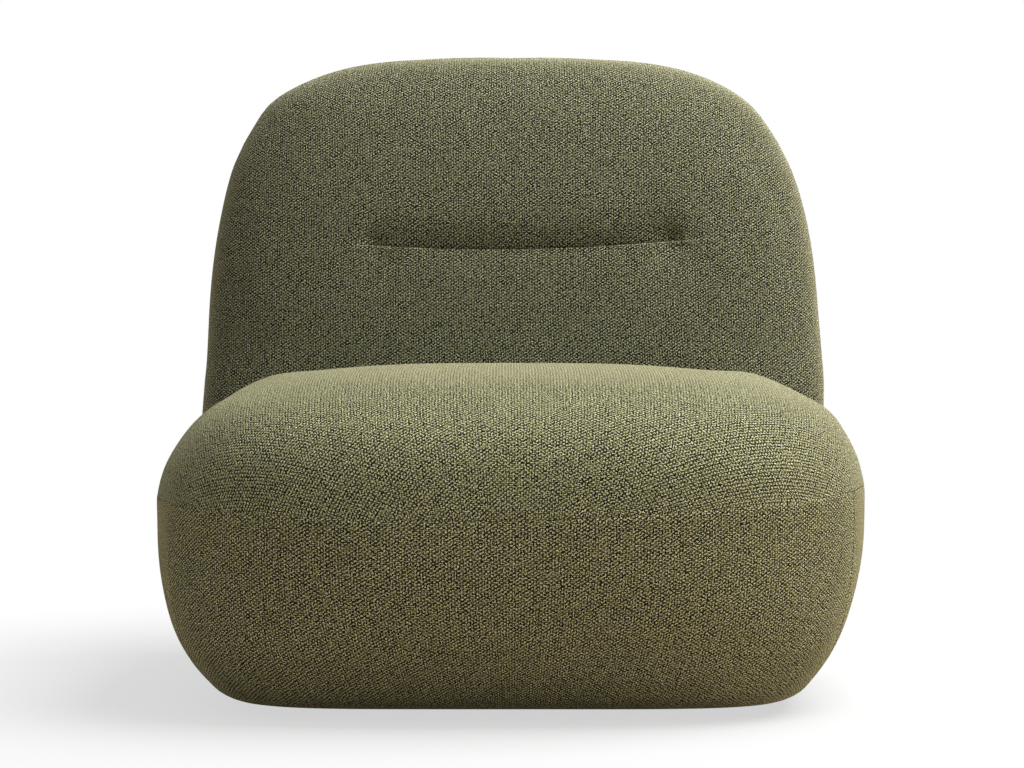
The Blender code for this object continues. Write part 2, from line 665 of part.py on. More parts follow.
def build_frame(chair):
    """The turning half of the bearing, the plywood box, the springs and the frame of the back."""
    zinc = make_material("zinc_steel_plate", ZINC, 0.4, 1.0)
    steel = make_material("screw_steel", DARK_STEEL, 0.45, 1.0)
    wire_steel = make_material("spring_steel", DARK_STEEL, 0.4, 1.0)
    plywood = make_material("plywood", PLYWOOD, 0.6)
    beech = make_material("beech", BEECH, 0.55)
    cloth = make_material("black_cambric", BLACK_CLOTH, 0.95)
    nylon = make_material("bush_nylon", NYLON, 0.5)

    flange = UPPER_TOP - RACE_FLANGE
    bush_out = KING_RADIUS + CLEARANCE + BUSH_WALL
    inside = bush_out + CLEARANCE
    lip_in = BALL_PITCH_RADIUS - GROOVE_RADIUS - RACE_LIP
    lip_out = BALL_PITCH_RADIUS + GROOVE_RADIUS + RACE_LIP
    groove = groove_points(1)
    lip = BALL_HEIGHT + RACE_SPACING / 2
    profile = [(inside, UPPER_TOP), (inside, flange), (lip_in, flange), (lip_in, lip)]
    profile += groove + [(lip_out, lip), (lip_out, flange)]
    profile += [(RACE_OUTSIDE, flange), (RACE_OUTSIDE, UPPER_TOP)]
    race = add_object("upper_race", turned(profile, ROUND_SEGMENTS, True), zinc, chair)
    profile = [(KING_RADIUS + CLEARANCE, flange), (bush_out, flange), (bush_out, UPPER_TOP),
               (KING_RADIUS + CLEARANCE, UPPER_TOP)]
    add_object("king_bush", turned(profile, SMALL_SEGMENTS, True), nylon, chair)

    board = add_object("base_board", box((-INNER_HALF + CLEARANCE, INNER_FRONT + CLEARANCE, BOARD_BOTTOM),
                                         (INNER_HALF - CLEARANCE, INNER_REAR - CLEARANCE, BOARD_TOP)),
                       plywood, chair)
    holes = bmesh.new()
    copy_into(holes, rod(WASHER_RADIUS + KING_WELL_PLAY, BOARD_BOTTOM - CUT_PAST, BOARD_TOP + CUT_PAST,
                         (0.0, 0.0), SMALL_SEGMENTS))
    cut(board, add_cutter("king_well", holes))
    holes = bmesh.new()
    for number, place in enumerate(ring_places(4, UPPER_SCREW_RADIUS, math.pi / 4), 1):
        add_screw(f"plate_screw_{number}", place, flange - CLEARANCE, 1, steel, chair)
        copy_into(holes, rod(SCREW_RADIUS + CLEARANCE, flange - CUT_PAST,
                             flange + SCREW_LENGTH + CLEARANCE, place))
    cutter = add_cutter("plate_screw_holes", holes)
    cut(race, cutter)
    cut(board, cutter)

    dust_top = BOARD_BOTTOM - CLEARANCE
    dust = box((-INNER_HALF + DUST_MARGIN, INNER_FRONT + DUST_MARGIN, dust_top - DUST_COVER_THICKNESS),
               (INNER_HALF - DUST_MARGIN, INNER_REAR - DUST_MARGIN, dust_top))
    dust = add_object("dust_cover", dust, cloth, chair)
    opening = rod(RACE_OUTSIDE + DUST_HOLE_PLAY, DISC_TOP, BOARD_TOP, (0.0, 0.0), ROUND_SEGMENTS)
    cut(dust, add_cutter("bearing_opening", opening))

    rails = {
        "front_rail": ((-FRAME_HALF, FRAME_FRONT), (FRAME_HALF, INNER_FRONT)),
        "rear_rail": ((-FRAME_HALF, INNER_REAR), (FRAME_HALF, FRAME_REAR)),
        "left_rail": ((-FRAME_HALF, INNER_FRONT + CLEARANCE), (-INNER_HALF, INNER_REAR - CLEARANCE)),
        "right_rail": ((INNER_HALF, INNER_FRONT + CLEARANCE), (FRAME_HALF, INNER_REAR - CLEARANCE)),
    }
    for name, (low, high) in rails.items():
        rail = add_object(name, box((*low, RAIL_BOTTOM), (*high, RAIL_TOP)), plywood, chair)
        chamfer(rail, RAIL_EDGE)

    post_front = POST_FOOT - POST_WIDTH / 2
    corners = [(1, INNER_FRONT, 1), (-1, INNER_FRONT, 1), (1, post_front, -1), (-1, post_front, -1)]
    for number, (side, depth, way) in enumerate(corners, 1):
        add_object(f"corner_block_{number}", block(side, depth, way), beech, chair)

    for number in range(1, SPRING_COUNT + 1):
        lane = (number - (SPRING_COUNT + 1) / 2) / (SPRING_COUNT + 1) * 2 * POST_INSIDE
        wire(f"seat_spring_{number}", spring_points(lane), SPRING_WIRE_RADIUS, wire_steel, chair, 1)

    for name, side in (("left_post", -1), ("right_post", 1)):
        add_object(name, post(side, 0.0), plywood, chair)
    add_object("back_top_rail", back_rail(POST_TOP - BACK_RAIL_HEIGHT / 2, 0.0), plywood, chair)
    add_object("back_waist_rail", back_rail(TUCK_HEIGHT, 0.0), plywood, chair)


def block(side, depth, way):
    """A three-cornered block glued into a corner of the box, on the board."""
    builder = bmesh.new()
    wall = side * (INNER_HALF - CLEARANCE)
    start = depth + way * CLEARANCE
    corners = [(wall, start), (wall - side * BLOCK_LEG, start), (wall, start + way * BLOCK_LEG)]
    low = [builder.verts.new((x, y, BOARD_TOP + CLEARANCE)) for x, y in corners]
    high = [builder.verts.new((x, y, RAIL_TOP - BLOCK_DROP)) for x, y in corners]
    builder.faces.new(low)
    builder.faces.new(high)
    for i in range(3):
        builder.faces.new((low[i], low[(i + 1) % 3], high[(i + 1) % 3], high[i]))
    return builder


def spring_points(lane):
    """A zigzag wire from the front rail to the rear rail, arched up in the middle."""
    first = FRAME_FRONT + SPRING_SEAT
    last = FRAME_REAR - SPRING_SEAT
    rest = RAIL_TOP + CLEARANCE + SPRING_WIRE_RADIUS
    steps = np.linspace(0.0, 1.0, SPRING_BENDS * SPRING_STEPS + 1)
    points = []
    for step in steps:
        phase = math.pi * SPRING_BENDS * step
        along = step + SPRING_FULLNESS * math.sin(2 * phase) / (2 * math.pi * SPRING_BENDS)
        depth = first + along * (last - first)
        arch = np.clip((depth - INNER_FRONT) / (INNER_REAR - INNER_FRONT), 0.0, 1.0)
        points.append((lane + SPRING_SWING * math.cos(phase), depth,
                       rest + SPRING_RISE * math.sin(math.pi * arch)))
    return points


def build_upholstery(chair):
    """The foam and the covers, cut round the frame."""
    olive = make_material("olive_boucle", OLIVE, 0.95)
    lower = make_material("olive_boucle_skirt", OLIVE_BROWN, 0.95)
    rear = make_material("olive_boucle_rear", OLIVE, 0.95)
    front = make_material("olive_boucle_front", OLIVE, 0.95)
    foam = make_material("seat_foam_yellow", FOAM_YELLOW, 0.9)
    back_foam_material = make_material("back_foam_yellow", FOAM_YELLOW, 0.9)
    listing = make_material("listing_steel", DARK_STEEL, 0.4, 1.0)

    edge = 2 * CLEARANCE
    sides = ((-FRAME_HALF - edge, FRAME_FRONT - edge), (FRAME_HALF + edge, FRAME_REAR + edge))
    frame_space = add_cutter("frame_space", box((*sides[0], FAR_BELOW), (*sides[1], FOAM_UNDERSIDE)))
    rail_space = box((*sides[0], RAIL_BOTTOM - CLEARANCE), (*sides[1], FOAM_UNDERSIDE))
    rail_space = add_cutter("rail_space", rail_space)
    recess = add_cutter("recess_space", box((-INNER_HALF, INNER_FRONT, FAR_BELOW),
                                            (INNER_HALF, INNER_REAR, RAIL_BOTTOM + CUT_PAST)))

    back_space = back_grid(-CONTACT_GAP, 0.0, 2 * math.pi, False)[:, :-1]
    back_space = add_cutter("back_space", solid(back_space))

    dome = shell(seat_dome(0.0, CLEARANCE), seat_dome(COVER_THICKNESS, CLEARANCE), True)
    top_cover = add_object("seat_top_cover", dome, olive, chair)
    cut(top_cover, rail_space)
    cut(top_cover, back_space)
    skirt = shell(seat_skirt(0.0, CLEARANCE), seat_skirt(COVER_THICKNESS, CLEARANCE), True)
    skirt = add_object("seat_skirt_cover", skirt, lower, chair)
    cut(skirt, rail_space)
    cut(skirt, recess)
    cut(skirt, back_space)
    core = np.concatenate([seat_dome(UNDER_COVER, 0.0)[::-1], seat_skirt(UNDER_COVER, 0.0)[1:]])
    seat_foam = add_object("seat_foam", solid(core), foam, chair)
    cut(seat_foam, frame_space)
    cut(seat_foam, back_space)

    seam = CLEARANCE
    front_out = back_grid(0.0, math.pi, 2 * math.pi)
    front_in = back_grid(COVER_THICKNESS, math.pi, 2 * math.pi)
    front_out[..., 1] -= seam
    front_in[..., 1] -= seam
    front_cover = add_object("back_front_cover", shell(front_out, front_in, False), front, chair)
    cut(front_cover, rail_space)
    cut(front_cover, recess)
    rear_out = back_grid(0.0, 0.0, math.pi)
    rear_in = back_grid(COVER_THICKNESS, 0.0, math.pi)
    rear_cover = add_object("back_rear_cover", shell(rear_out, rear_in, False), rear, chair)
    cut(rear_cover, rail_space)
    cut(rear_cover, recess)

    core = back_grid(UNDER_COVER + seam, 0.0, 2 * math.pi)[:, :-1]
    back_foam = add_object("back_foam", solid(core), back_foam_material, chair)
    cut(back_foam, frame_space)
    for name, side in (("left_post_space", -1), ("right_post_space", 1)):
        cut(back_foam, add_cutter(name, post(side, CLEARANCE)))
    cut(back_foam, add_cutter("top_rail_space", back_rail(POST_TOP - BACK_RAIL_HEIGHT / 2, CLEARANCE)))
    cut(back_foam, add_cutter("waist_rail_space", back_rail(TUCK_HEIGHT, CLEARANCE)))

    level = int(np.argmin(np.abs(front_in[:, 0, 2] - TUCK_HEIGHT)))
    crease = front_in[level]
    reach = np.abs(crease[:, 0]) < LISTING_LENGTH / 2
    points = crease[reach] + np.array([0.0, CLEARANCE + seam + LISTING_RADIUS, 0.0])
    wire("tuck_listing", points.tolist(), LISTING_RADIUS, listing, chair, 1)
    points[0, 0] -= 2 * CLEARANCE
    points[-1, 0] += 2 * CLEARANCE
    channel = wire("listing_channel", points.tolist(), LISTING_RADIUS + CLEARANCE, None, None, 1)
    channel_mesh = bpy.data.meshes.new_from_object(channel)
    bpy.data.objects.remove(channel, do_unlink=True)
    builder = bmesh.new()
    builder.from_mesh(channel_mesh)
    cut(back_foam, add_cutter("listing_space", builder))


remove_startup_objects()
base_pivot = add_pivot("base")
ring_pivot = add_pivot("ball_ring")
chair_pivot = add_pivot("chair")
build_base(base_pivot)
build_ball_ring(ring_pivot)
build_frame(chair_pivot)
build_upholstery(chair_pivot)
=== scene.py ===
# %% [markdown]
# # A swivel lounge chair, dressed
#
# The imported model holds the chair's frame, bearing and plain soft forms. This lesson puts the looks
# on it: four upholstered covers in a nubbly olive weave, the lining underneath, and a finish for each
# hidden part of wood, steel, nylon and rubber. Everything is in metres, with the front towards -Y and
# the origin on the floor under the middle of the chair.

import json
import math

import bpy
import numpy as np
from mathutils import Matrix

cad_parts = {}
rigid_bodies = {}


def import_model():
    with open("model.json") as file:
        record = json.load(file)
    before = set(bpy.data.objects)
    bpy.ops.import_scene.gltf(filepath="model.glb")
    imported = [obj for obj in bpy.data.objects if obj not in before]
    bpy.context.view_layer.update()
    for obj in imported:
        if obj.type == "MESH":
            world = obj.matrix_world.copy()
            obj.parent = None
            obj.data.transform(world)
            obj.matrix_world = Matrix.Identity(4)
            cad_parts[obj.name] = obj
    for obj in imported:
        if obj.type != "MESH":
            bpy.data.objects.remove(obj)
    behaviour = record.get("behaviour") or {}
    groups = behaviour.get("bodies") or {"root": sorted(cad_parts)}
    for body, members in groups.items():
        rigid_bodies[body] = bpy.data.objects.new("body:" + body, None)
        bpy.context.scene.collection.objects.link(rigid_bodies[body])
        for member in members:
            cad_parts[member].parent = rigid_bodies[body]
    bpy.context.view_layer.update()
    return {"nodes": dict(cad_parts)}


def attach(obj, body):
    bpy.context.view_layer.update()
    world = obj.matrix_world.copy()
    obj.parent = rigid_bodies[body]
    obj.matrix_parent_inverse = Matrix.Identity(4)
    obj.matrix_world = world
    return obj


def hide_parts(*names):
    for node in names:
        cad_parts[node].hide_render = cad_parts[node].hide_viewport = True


for leftover in list(bpy.data.objects):
    bpy.data.objects.remove(leftover, do_unlink=True)
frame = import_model()

# %% [markdown]
# ## The camera
#
# The picture was taken from straight in front, a little above the seat, with a long lens. The height
# of the horizon and the depth that shows on the seat top fix the distance and the tilt. A long lens
# could be faked with a far camera and a crop, but the real distance keeps the perspective right.

# %% Camera
CAMERA_PLACE = (0.0012, -3.30, 0.450)
CAMERA_TILT = math.radians(90 - 1.583)
LENS = 96.6

camera = bpy.data.objects.new("camera", bpy.data.cameras.new("camera"))
camera.location = CAMERA_PLACE
camera.rotation_euler = (CAMERA_TILT, 0.0, 0.0)
camera.data.lens = LENS
bpy.context.scene.collection.objects.link(camera)
bpy.context.scene.camera = camera
bpy.context.scene.view_settings.view_transform = "Standard"
print("camera at", CAMERA_PLACE, "with a lens of", LENS, "mm")

# %% [markdown]
# ## Joining nodes
#
# Every finish is a net of small nodes: noises, sums and mixes of colours. With Blender's own calls each
# link takes a line of its own, so this helper adds a node and joins its inputs in one call.

# %% Node helper
MAIN_SHADERS = ("Principled BSDF", "Background")


class Wiring:
    """A short way to add nodes to a material or a world and to join them."""

    def __init__(self, owner):
        owner.use_nodes = True
        self.owner = owner
        self.tree = owner.node_tree
        self.shader = next(node for node in self.tree.nodes if node.name in MAIN_SHADERS)

    def plug(self, node, key, value):
        """Set one input, by name or by number."""
        socket = node.inputs[int(key) if key.isdigit() else key]
        if isinstance(value, bpy.types.NodeSocket):
            self.tree.links.new(value, socket)
        else:
            socket.default_value = value

    def add(self, kind, settings=None, values=(), **inputs):
        """A node with its settings, and inputs given as numbers or as other nodes' sockets."""
        node = self.tree.nodes.new(kind)
        for key, value in (settings or {}).items():
            setattr(node, key, value)
        for index, value in enumerate(values):
            self.plug(node, str(index), value)
        for key, value in inputs.items():
            self.plug(node, key.replace("_", " "), value)
        return node

    def math(self, operation, first, second=0.0, third=0.0):
        """A sum or other operation on numbers."""
        return self.add("ShaderNodeMath", {"operation": operation}, (first, second, third)).outputs[0]

    def remap(self, value, low, high, to_low, to_high, shape="LINEAR"):
        """Carry a value from one range to another, held at the ends."""
        node = self.add("ShaderNodeMapRange", {"interpolation_type": shape}, Value=value, From_Min=low,
                        From_Max=high, To_Min=to_low, To_Max=to_high)
        return node.outputs["Result"]

    def blend(self, share, first, second, kind="MIX"):
        """Mix two colours."""
        node = self.add("ShaderNodeMix", {"data_type": "RGBA", "blend_type": kind})
        for key, value in (("0", share), ("6", first), ("7", second)):
            self.plug(node, key, value)
        return node.outputs[2]

    def noise(self, place, scale, detail=2.0):
        """Soft noise from 0 to 1."""
        return self.add("ShaderNodeTexNoise", Vector=place, Scale=scale, Detail=detail).outputs["Fac"]

    def stretch(self, place, size):
        """Scale a place by three numbers."""
        return self.add("ShaderNodeMapping", Vector=place, Scale=size).outputs["Vector"]

    def bump(self, height, strength, distance):
        """A relief for the light, without moving the surface."""
        node = self.add("ShaderNodeBump", Height=height, Strength=strength, Distance=distance)
        return node.outputs[0]

    def finish(self, **inputs):
        """Set inputs of the main shader."""
        for key, value in inputs.items():
            self.plug(self.shader, key.replace("_", " "), value)
        return self.owner


print("every finish ends in one of", *MAIN_SHADERS, sep="\n")

# %% [markdown]
# ## Studio light and floor
#
# The chair stands in a white studio. A broad lamp hangs above and to the right, which is why the right
# side is the brightest. The seat top is the brightest partly from that lamp and partly from painted light:
# its cloth is a lighter copy of the back's. The world gives soft light from everywhere, and looks plain
# white to the camera. The floor is a large pale sheet that takes the chair's shadow near the chair and
# fades to plain white further out, so that no horizon shows. The lower half of the chair looks browner
# than the top, as over a wooden floor, so the floor throws back warm light.

# %% World, lamp and floor
WORLD_LEVEL = 0.45
KEY_PLACE = (1.45, -0.02, 2.65)
KEY_POWER = 185.0
KEY_SIZE = 2.4
SHADOW_PALE = 0.62
SHADOW_INNER = 0.50
SHADOW_OUTER = 1.10
LAMP_AIM = (0.0, 0.0, 0.35)
FLOOR_HALF = 12.0
FLOOR_ROUGHNESS = 0.9
FLOOR_GREY = (0.50, 0.50, 0.50, 1.0)
FLOOR_BOUNCE = (0.56, 0.48, 0.39, 1.0)
WHITE = (1.0, 1.0, 1.0, 1.0)


def seen_directly(wiring):
    """1 for rays that show a thing: from the camera, in a mirror or through glass. 0 for stray light."""
    rays = wiring.add("ShaderNodeLightPath").outputs
    mirrored = wiring.math("MAXIMUM", rays["Is Camera Ray"], rays["Is Glossy Ray"])
    return wiring.math("MAXIMUM", mirrored, rays["Is Transmission Ray"])


def studio_world():
    """A world that is plain white where it is seen directly, and lights the chair at a lower level."""
    wiring = Wiring(bpy.data.worlds.new("white_studio"))
    strength = wiring.remap(seen_directly(wiring), 0.0, 1.0, WORLD_LEVEL, 1.0)
    return wiring.finish(Color=WHITE, Strength=strength)


def studio_lamp():
    """A square lamp aimed at the middle of the chair."""
    lamp = bpy.data.lights.new("lamp_above", "AREA")
    lamp.energy = KEY_POWER
    lamp.size = KEY_SIZE
    item = bpy.data.objects.new("lamp_above", lamp)
    item.location = KEY_PLACE
    aim = np.array(LAMP_AIM) - np.array(KEY_PLACE)
    level = math.hypot(aim[0], aim[1])
    item.rotation_euler = (math.atan2(level, -aim[2]), 0.0, math.atan2(-aim[0], aim[1]))
    bpy.context.scene.collection.objects.link(item)


def floor_paint():
    """A pale matt floor, seen as plain white with the distance from the chair. The light that it throws
    back at the chair is warmer than it looks itself."""
    wiring = Wiring(bpy.data.materials.new("pale_floor"))
    seen = seen_directly(wiring)
    place = wiring.add("ShaderNodeTexCoord").outputs["Object"]
    away = wiring.add("ShaderNodeVectorMath", {"operation": "LENGTH"}, (place,)).outputs["Value"]
    fade = wiring.remap(away, SHADOW_INNER, SHADOW_OUTER, SHADOW_PALE, 1.0, "SMOOTHSTEP")
    white = wiring.add("ShaderNodeEmission").outputs[0]
    shares = (wiring.math("MULTIPLY", fade, seen), wiring.shader.outputs[0], white)
    mixed = wiring.add("ShaderNodeMixShader", values=shares).outputs[0]
    wiring.plug(wiring.tree.nodes["Material Output"], "Surface", mixed)
    tone = wiring.blend(seen, FLOOR_BOUNCE, FLOOR_GREY)
    return wiring.finish(Base_Color=tone, Roughness=FLOOR_ROUGHNESS)


bpy.context.scene.world = studio_world()
studio_lamp()
corner = np.array([(-1, -1, 0), (1, -1, 0), (1, 1, 0), (-1, 1, 0)]) * FLOOR_HALF
floor_mesh = bpy.data.meshes.new("studio_floor")
floor_mesh.from_pydata(corner.tolist(), [], [(0, 1, 2, 3)])
floor_mesh.materials.append(floor_paint())
floor = bpy.data.objects.new("studio_floor", floor_mesh)
bpy.context.scene.collection.objects.link(floor)
print("world level", WORLD_LEVEL, "and one lamp of", KEY_POWER, "W")

# %% [markdown]
# ## Grids
#
# A cushion panel is sewn from a flat piece of cloth, so its mesh is a grid of rows and columns that is
# bent into place. Where the rows shrink to one point, as at the middle of the back's top, the last row is
# a single point with triangles round it. Where a panel is more like a plate, a square grid is eased into
# a disc, which has no such point at all.

# %% Grid helpers
FRAME_LOW = np.array([-0.258, -0.272, 0.0140])
FRAME_HIGH = np.array([0.258, 0.266, 0.2290])
FRAME_TO_FLOOR = FRAME_LOW * np.array([1.0, 1.0, 0.0])


def disc_grid(across, along):
    """Share of the radius and angle for each point of a square grid eased into a disc:
    x = s * sqrt(1 - t^2 / 2) and y = t * sqrt(1 - s^2 / 2)."""
    s, t = np.meshgrid(across, along)
    x = s * np.sqrt(1 - t ** 2 / 2)
    y = t * np.sqrt(1 - s ** 2 / 2)
    return np.minimum(np.hypot(x, y), 1.0), np.arctan2(y, x)


def grid_faces(rows, columns, outward, closed=False, pole=False):
    """Corner numbers of the faces of a grid, in the mesh and in a flat copy of it. A closed grid joins
    its last column to its first, while the flat copy has one column more. With a pole the last row is one
    point in the mesh."""
    wide = columns + 1 if closed else columns
    row, column = np.meshgrid(np.arange(rows - 1), np.arange(wide - 1), indexing="ij")
    steps = [(0, 0), (0, 1), (1, 1), (1, 0)]
    steps = steps if outward > 0 else steps[::-1]
    mesh = np.stack([(row + down) * columns + (column + on) % columns for down, on in steps], -1)
    flat = np.stack([(row + down) * wide + column + on for down, on in steps], -1)
    if not pole:
        return mesh.reshape(-1, 4).tolist(), flat.reshape(-1, 4).tolist()
    three = [0, 1, 2] if outward > 0 else [1, 2, 3]
    tip = np.minimum(mesh[-1][:, three], (rows - 1) * columns)
    return (mesh[:-1].reshape(-1, 4).tolist() + tip.tolist(),
            flat[:-1].reshape(-1, 4).tolist() + flat[-1][:, three].tolist())


def add_piece(name, points, faces, flat_faces, weave, box_low=FRAME_LOW):
    """Put a grid of points into a smooth mesh. The weave is the place of each point on the flat cloth.
    Faces that would reach into the wooden box of the seat are left out, because no cloth runs through it.
    The box starts at its low corner, which may be set lower, or at the high corner for no box at all."""
    points = points.reshape(-1, 3)
    inside = np.all((points > box_low) & (points < FRAME_HIGH), axis=1)
    kept = [index for index, face in enumerate(faces) if not inside[face].any()]
    used = np.unique(np.concatenate([faces[index] for index in kept]))
    number = np.zeros(len(points), int)
    number[used] = np.arange(len(used))
    mesh = bpy.data.meshes.new(name)
    mesh.from_pydata(points[used].tolist(), [], [number[faces[index]].tolist() for index in kept])
    mesh.shade_smooth()
    corners = np.concatenate([flat_faces[index] for index in kept])
    layer = mesh.uv_layers.new(name="weave")
    layer.data.foreach_set("uv", weave.reshape(-1, 2)[corners].ravel().astype(np.float32))
    piece = bpy.data.objects.new(name, mesh)
    bpy.context.scene.collection.objects.link(piece)
    return piece


print("the box of the seat reaches from", FRAME_LOW, "to", FRAME_HIGH)

# %% [markdown]
# ## The form of the back
#
# The back is a fat leaning pillow. Cut it level anywhere and the cut is a rounded rectangle. Its half
# width and half thickness shrink to nothing at the top and draw in a little towards the hem. Close to
# the floor the cloth turns in a quarter round and runs level under the frame, where it is stapled.
# The same values stand in the chair's source, because a script for the looks reads no other file.

# %% Back values and level cuts
BACK_HALF_WIDTH = 0.402
BACK_TOP = 0.780
BACK_HALF_THICK = 0.105
BACK_WIDEST = 0.320
BACK_REACH = 0.109
BACK_LEAN = 0.158
BACK_DRAW_IN = 0.088
BACK_REAR_DRAW_IN = 0.012
BACK_SIDE_POWER = 4.0
BACK_TOP_POWER = 3.1
BACK_CUT_POWER = 2.8
DRAW_IN_POWER = 2.5
SLIM_SHARE = 0.016
SLIM_HEIGHT = 0.500
SLIM_SPREAD = 0.130
SLIM_POWER = 4
CORNER_FULL = (0.024, 0.012)
CORNER_HEIGHT = 0.724
CORNER_SPREAD = 0.026
LOW_SHIFT = 0.0035
LOW_SHIFT_HEIGHT = 0.355
LOW_SHIFT_SPREAD = 0.060
TOP_DROP = 0.0013
TOP_DROP_START = 0.600
HEM_HEIGHT = 0.012
HEM_ROUND = 0.014
HEM_RETURN = 0.064
HEM_REAR_LIMIT = 0.046
HEM_START = HEM_HEIGHT + HEM_ROUND
HEM_END = HEM_START - HEM_ROUND * math.pi / 2 - HEM_RETURN
LEAST_WIDTH = 1e-6


def hem_path(path):
    """Height and extra inset at a length along a side. The path is the height itself above the hem, then
    a quarter round, then level under the frame."""
    turn = np.clip((HEM_START - path) / HEM_ROUND, 0, math.pi / 2)
    level = np.clip(HEM_START - HEM_ROUND * math.pi / 2 - path, 0, None)
    height = np.where(path > HEM_START, path, HEM_START - HEM_ROUND * np.sin(turn))
    return height, HEM_ROUND * (1 - np.cos(turn)) + level


def back_cut(height):
    """Half width, half thickness and centre of the level cut at a height. Above the widest line both
    halves close as (1 - h^a)^(1/b), where h is the share of the way to the top."""
    low = np.clip((BACK_WIDEST - height) / (BACK_WIDEST - HEM_HEIGHT), 0, 1)
    high = np.clip((height - BACK_WIDEST) / (BACK_TOP - BACK_WIDEST), 0, 1)
    close = (1 - high ** BACK_TOP_POWER) ** (1 / BACK_SIDE_POWER)
    wide = (BACK_HALF_WIDTH - BACK_DRAW_IN * low ** DRAW_IN_POWER) * close
    thick = BACK_HALF_THICK - BACK_REAR_DRAW_IN * low ** 2
    centre = BACK_REACH + BACK_LEAN * height + np.where(high > 0, BACK_HALF_THICK, thick)
    return wide, thick * close, centre


def hill(value, place, spread, power=2):
    """1 at a place, and falling off to both sides as exp(-((value - place) / spread)^power)."""
    return np.exp(-((value - place) / spread) ** power)


def settle_back(points):
    """The padding is not quite even: the left side of the back is up to 1.6 % slimmer at mid height, the
    top corners are a little fuller, the left one more, above the seat the back sits further right, and the
    top has settled by about a millimetre."""
    x, y, z = np.moveaxis(points, -1, 0)
    aside = LOW_SHIFT * hill(z, LOW_SHIFT_HEIGHT, LOW_SHIFT_SPREAD)
    slim = SLIM_SHARE * hill(z, SLIM_HEIGHT, SLIM_SPREAD, SLIM_POWER)
    full = hill(z, CORNER_HEIGHT, CORNER_SPREAD)
    across = np.where(x < 0, 1 - slim + CORNER_FULL[0] * full, 1 + CORNER_FULL[1] * full)
    upper = np.clip((z - TOP_DROP_START) / (BACK_TOP - TOP_DROP_START), 0, 1)
    return np.stack([x * across + aside, y, z - TOP_DROP * upper ** 2], -1)


def back_surface(across, path, side):
    """Points of the back over (x, path). Side is -1 for the front and 1 for the rear:
    y = centre + side * thick * (1 - |x / wide|^n)^(1/n)."""
    height, inset = hem_path(path)
    wide, thick, centre = back_cut(height)
    share = np.minimum(np.abs(across) / np.maximum(wide - inset, LEAST_WIDTH), 1)
    bulge = (1 - share ** BACK_CUT_POWER) ** (1 / BACK_CUT_POWER)
    thick = thick - np.minimum(inset, HEM_REAR_LIMIT)
    return np.stack([across, centre + side * thick * bulge, height], -1)


print("the back is", 2 * BACK_HALF_WIDTH, "wide and", BACK_TOP, "high")

# %% [markdown]
# ## Two panels for the back
#
# The front and the rear of the back are each one panel, sewn together along the outline. A panel could
# be a stretched ball, but then its rows would not follow anything that is sewn. Here each row is half of
# a level cut, from one side of the outline round to the other, and the rows end in one point at the
# middle of the top. The rows lie closer together where the tuck will be.

# %% Panel grid and place on the cloth
PANEL_COLUMNS = 211
ROWS_BELOW_TUCK = 76
ROWS_ABOVE_TUCK = 42
ROWS_OVER_TOP = 28
TUCK_HEIGHT = 0.525
TOP_START = 0.640
CROWD_BELOW = 1.7
CROWD_ABOVE = 1.5
ARC_STEPS = 40


def cut_profile(turn):
    """Half of a level cut by angle: across = cos / (|cos|^n + sin^n)^(1/n), outward likewise with sin."""
    cosine, sine = np.cos(turn), np.abs(np.sin(turn))
    size = (np.abs(cosine) ** BACK_CUT_POWER + sine ** BACK_CUT_POWER) ** (-1 / BACK_CUT_POWER)
    return cosine * size, sine * size


def row_paths():
    """The rows of a panel as lengths along the side: closer at the tuck, and over the top spaced so that
    the closing cuts get smaller in even steps."""
    below = np.linspace(0, 1, ROWS_BELOW_TUCK)
    above = np.linspace(0, 1, ROWS_ABOVE_TUCK)[1:]
    below = HEM_END + (TUCK_HEIGHT - HEM_END) * (1 - (1 - below) ** CROWD_BELOW)
    above = TUCK_HEIGHT + (TOP_START - TUCK_HEIGHT) * above ** CROWD_ABOVE
    rise = BACK_TOP - BACK_WIDEST
    start = (1 - ((TOP_START - BACK_WIDEST) / rise) ** BACK_TOP_POWER) ** (1 / BACK_SIDE_POWER)
    close = start * np.linspace(1, 0, ROWS_OVER_TOP + 1)[1:]
    top = BACK_WIDEST + rise * (1 - close ** BACK_SIDE_POWER) ** (1 / BACK_TOP_POWER)
    return np.concatenate([below, above, top])


def back_panel(path, turn, side):
    """Points of a panel for a row and an angle. Side is -1 for the front and 1 for the rear:
    x = wide * across(turn) and y = centre + side * thick * outward(turn)."""
    height, inset = hem_path(path)
    wide, thick, centre = back_cut(height)
    across, outward = cut_profile(turn)
    thick = thick - np.minimum(inset, HEM_REAR_LIMIT)
    return np.stack([(wide - inset) * across, centre + side * thick * outward, height], -1)


def arc_length(surface, start, end):
    """Length of the line on a surface between two arrays of parameter pairs, by summing short chords."""
    share = (1 - np.cos(np.linspace(0, math.pi, ARC_STEPS))) / 2
    total = np.zeros(start[0].shape)
    before = surface(*start)
    for step in share[1:]:
        after = surface(*(a + step * (b - a) for a, b in zip(start, end)))
        total += np.linalg.norm(after - before, axis=-1)
        before = after
    return total


def panel_weave(points, path, side):
    """Place of each point on the flat cloth: arc length along the row from the middle, and arc length up
    from the widest line at the same distance across."""
    def surface(x, p):
        return back_surface(x, p, side)
    chords = np.linalg.norm(np.diff(points, axis=1), axis=2)
    u = np.concatenate([np.zeros((len(points), 1)), np.cumsum(chords, axis=1)], axis=1)
    u = u[:, PANEL_COLUMNS // 2, None] - u
    across = points[..., 0]
    level = np.full_like(path, BACK_WIDEST)
    v = np.sign(path - BACK_WIDEST) * arc_length(surface, (across, level), (across, path))
    return np.stack([u, v], -1)


panel_turn, panel_path = np.meshgrid(np.linspace(0, math.pi, PANEL_COLUMNS), row_paths())
print("panel of", panel_path.shape, "points")

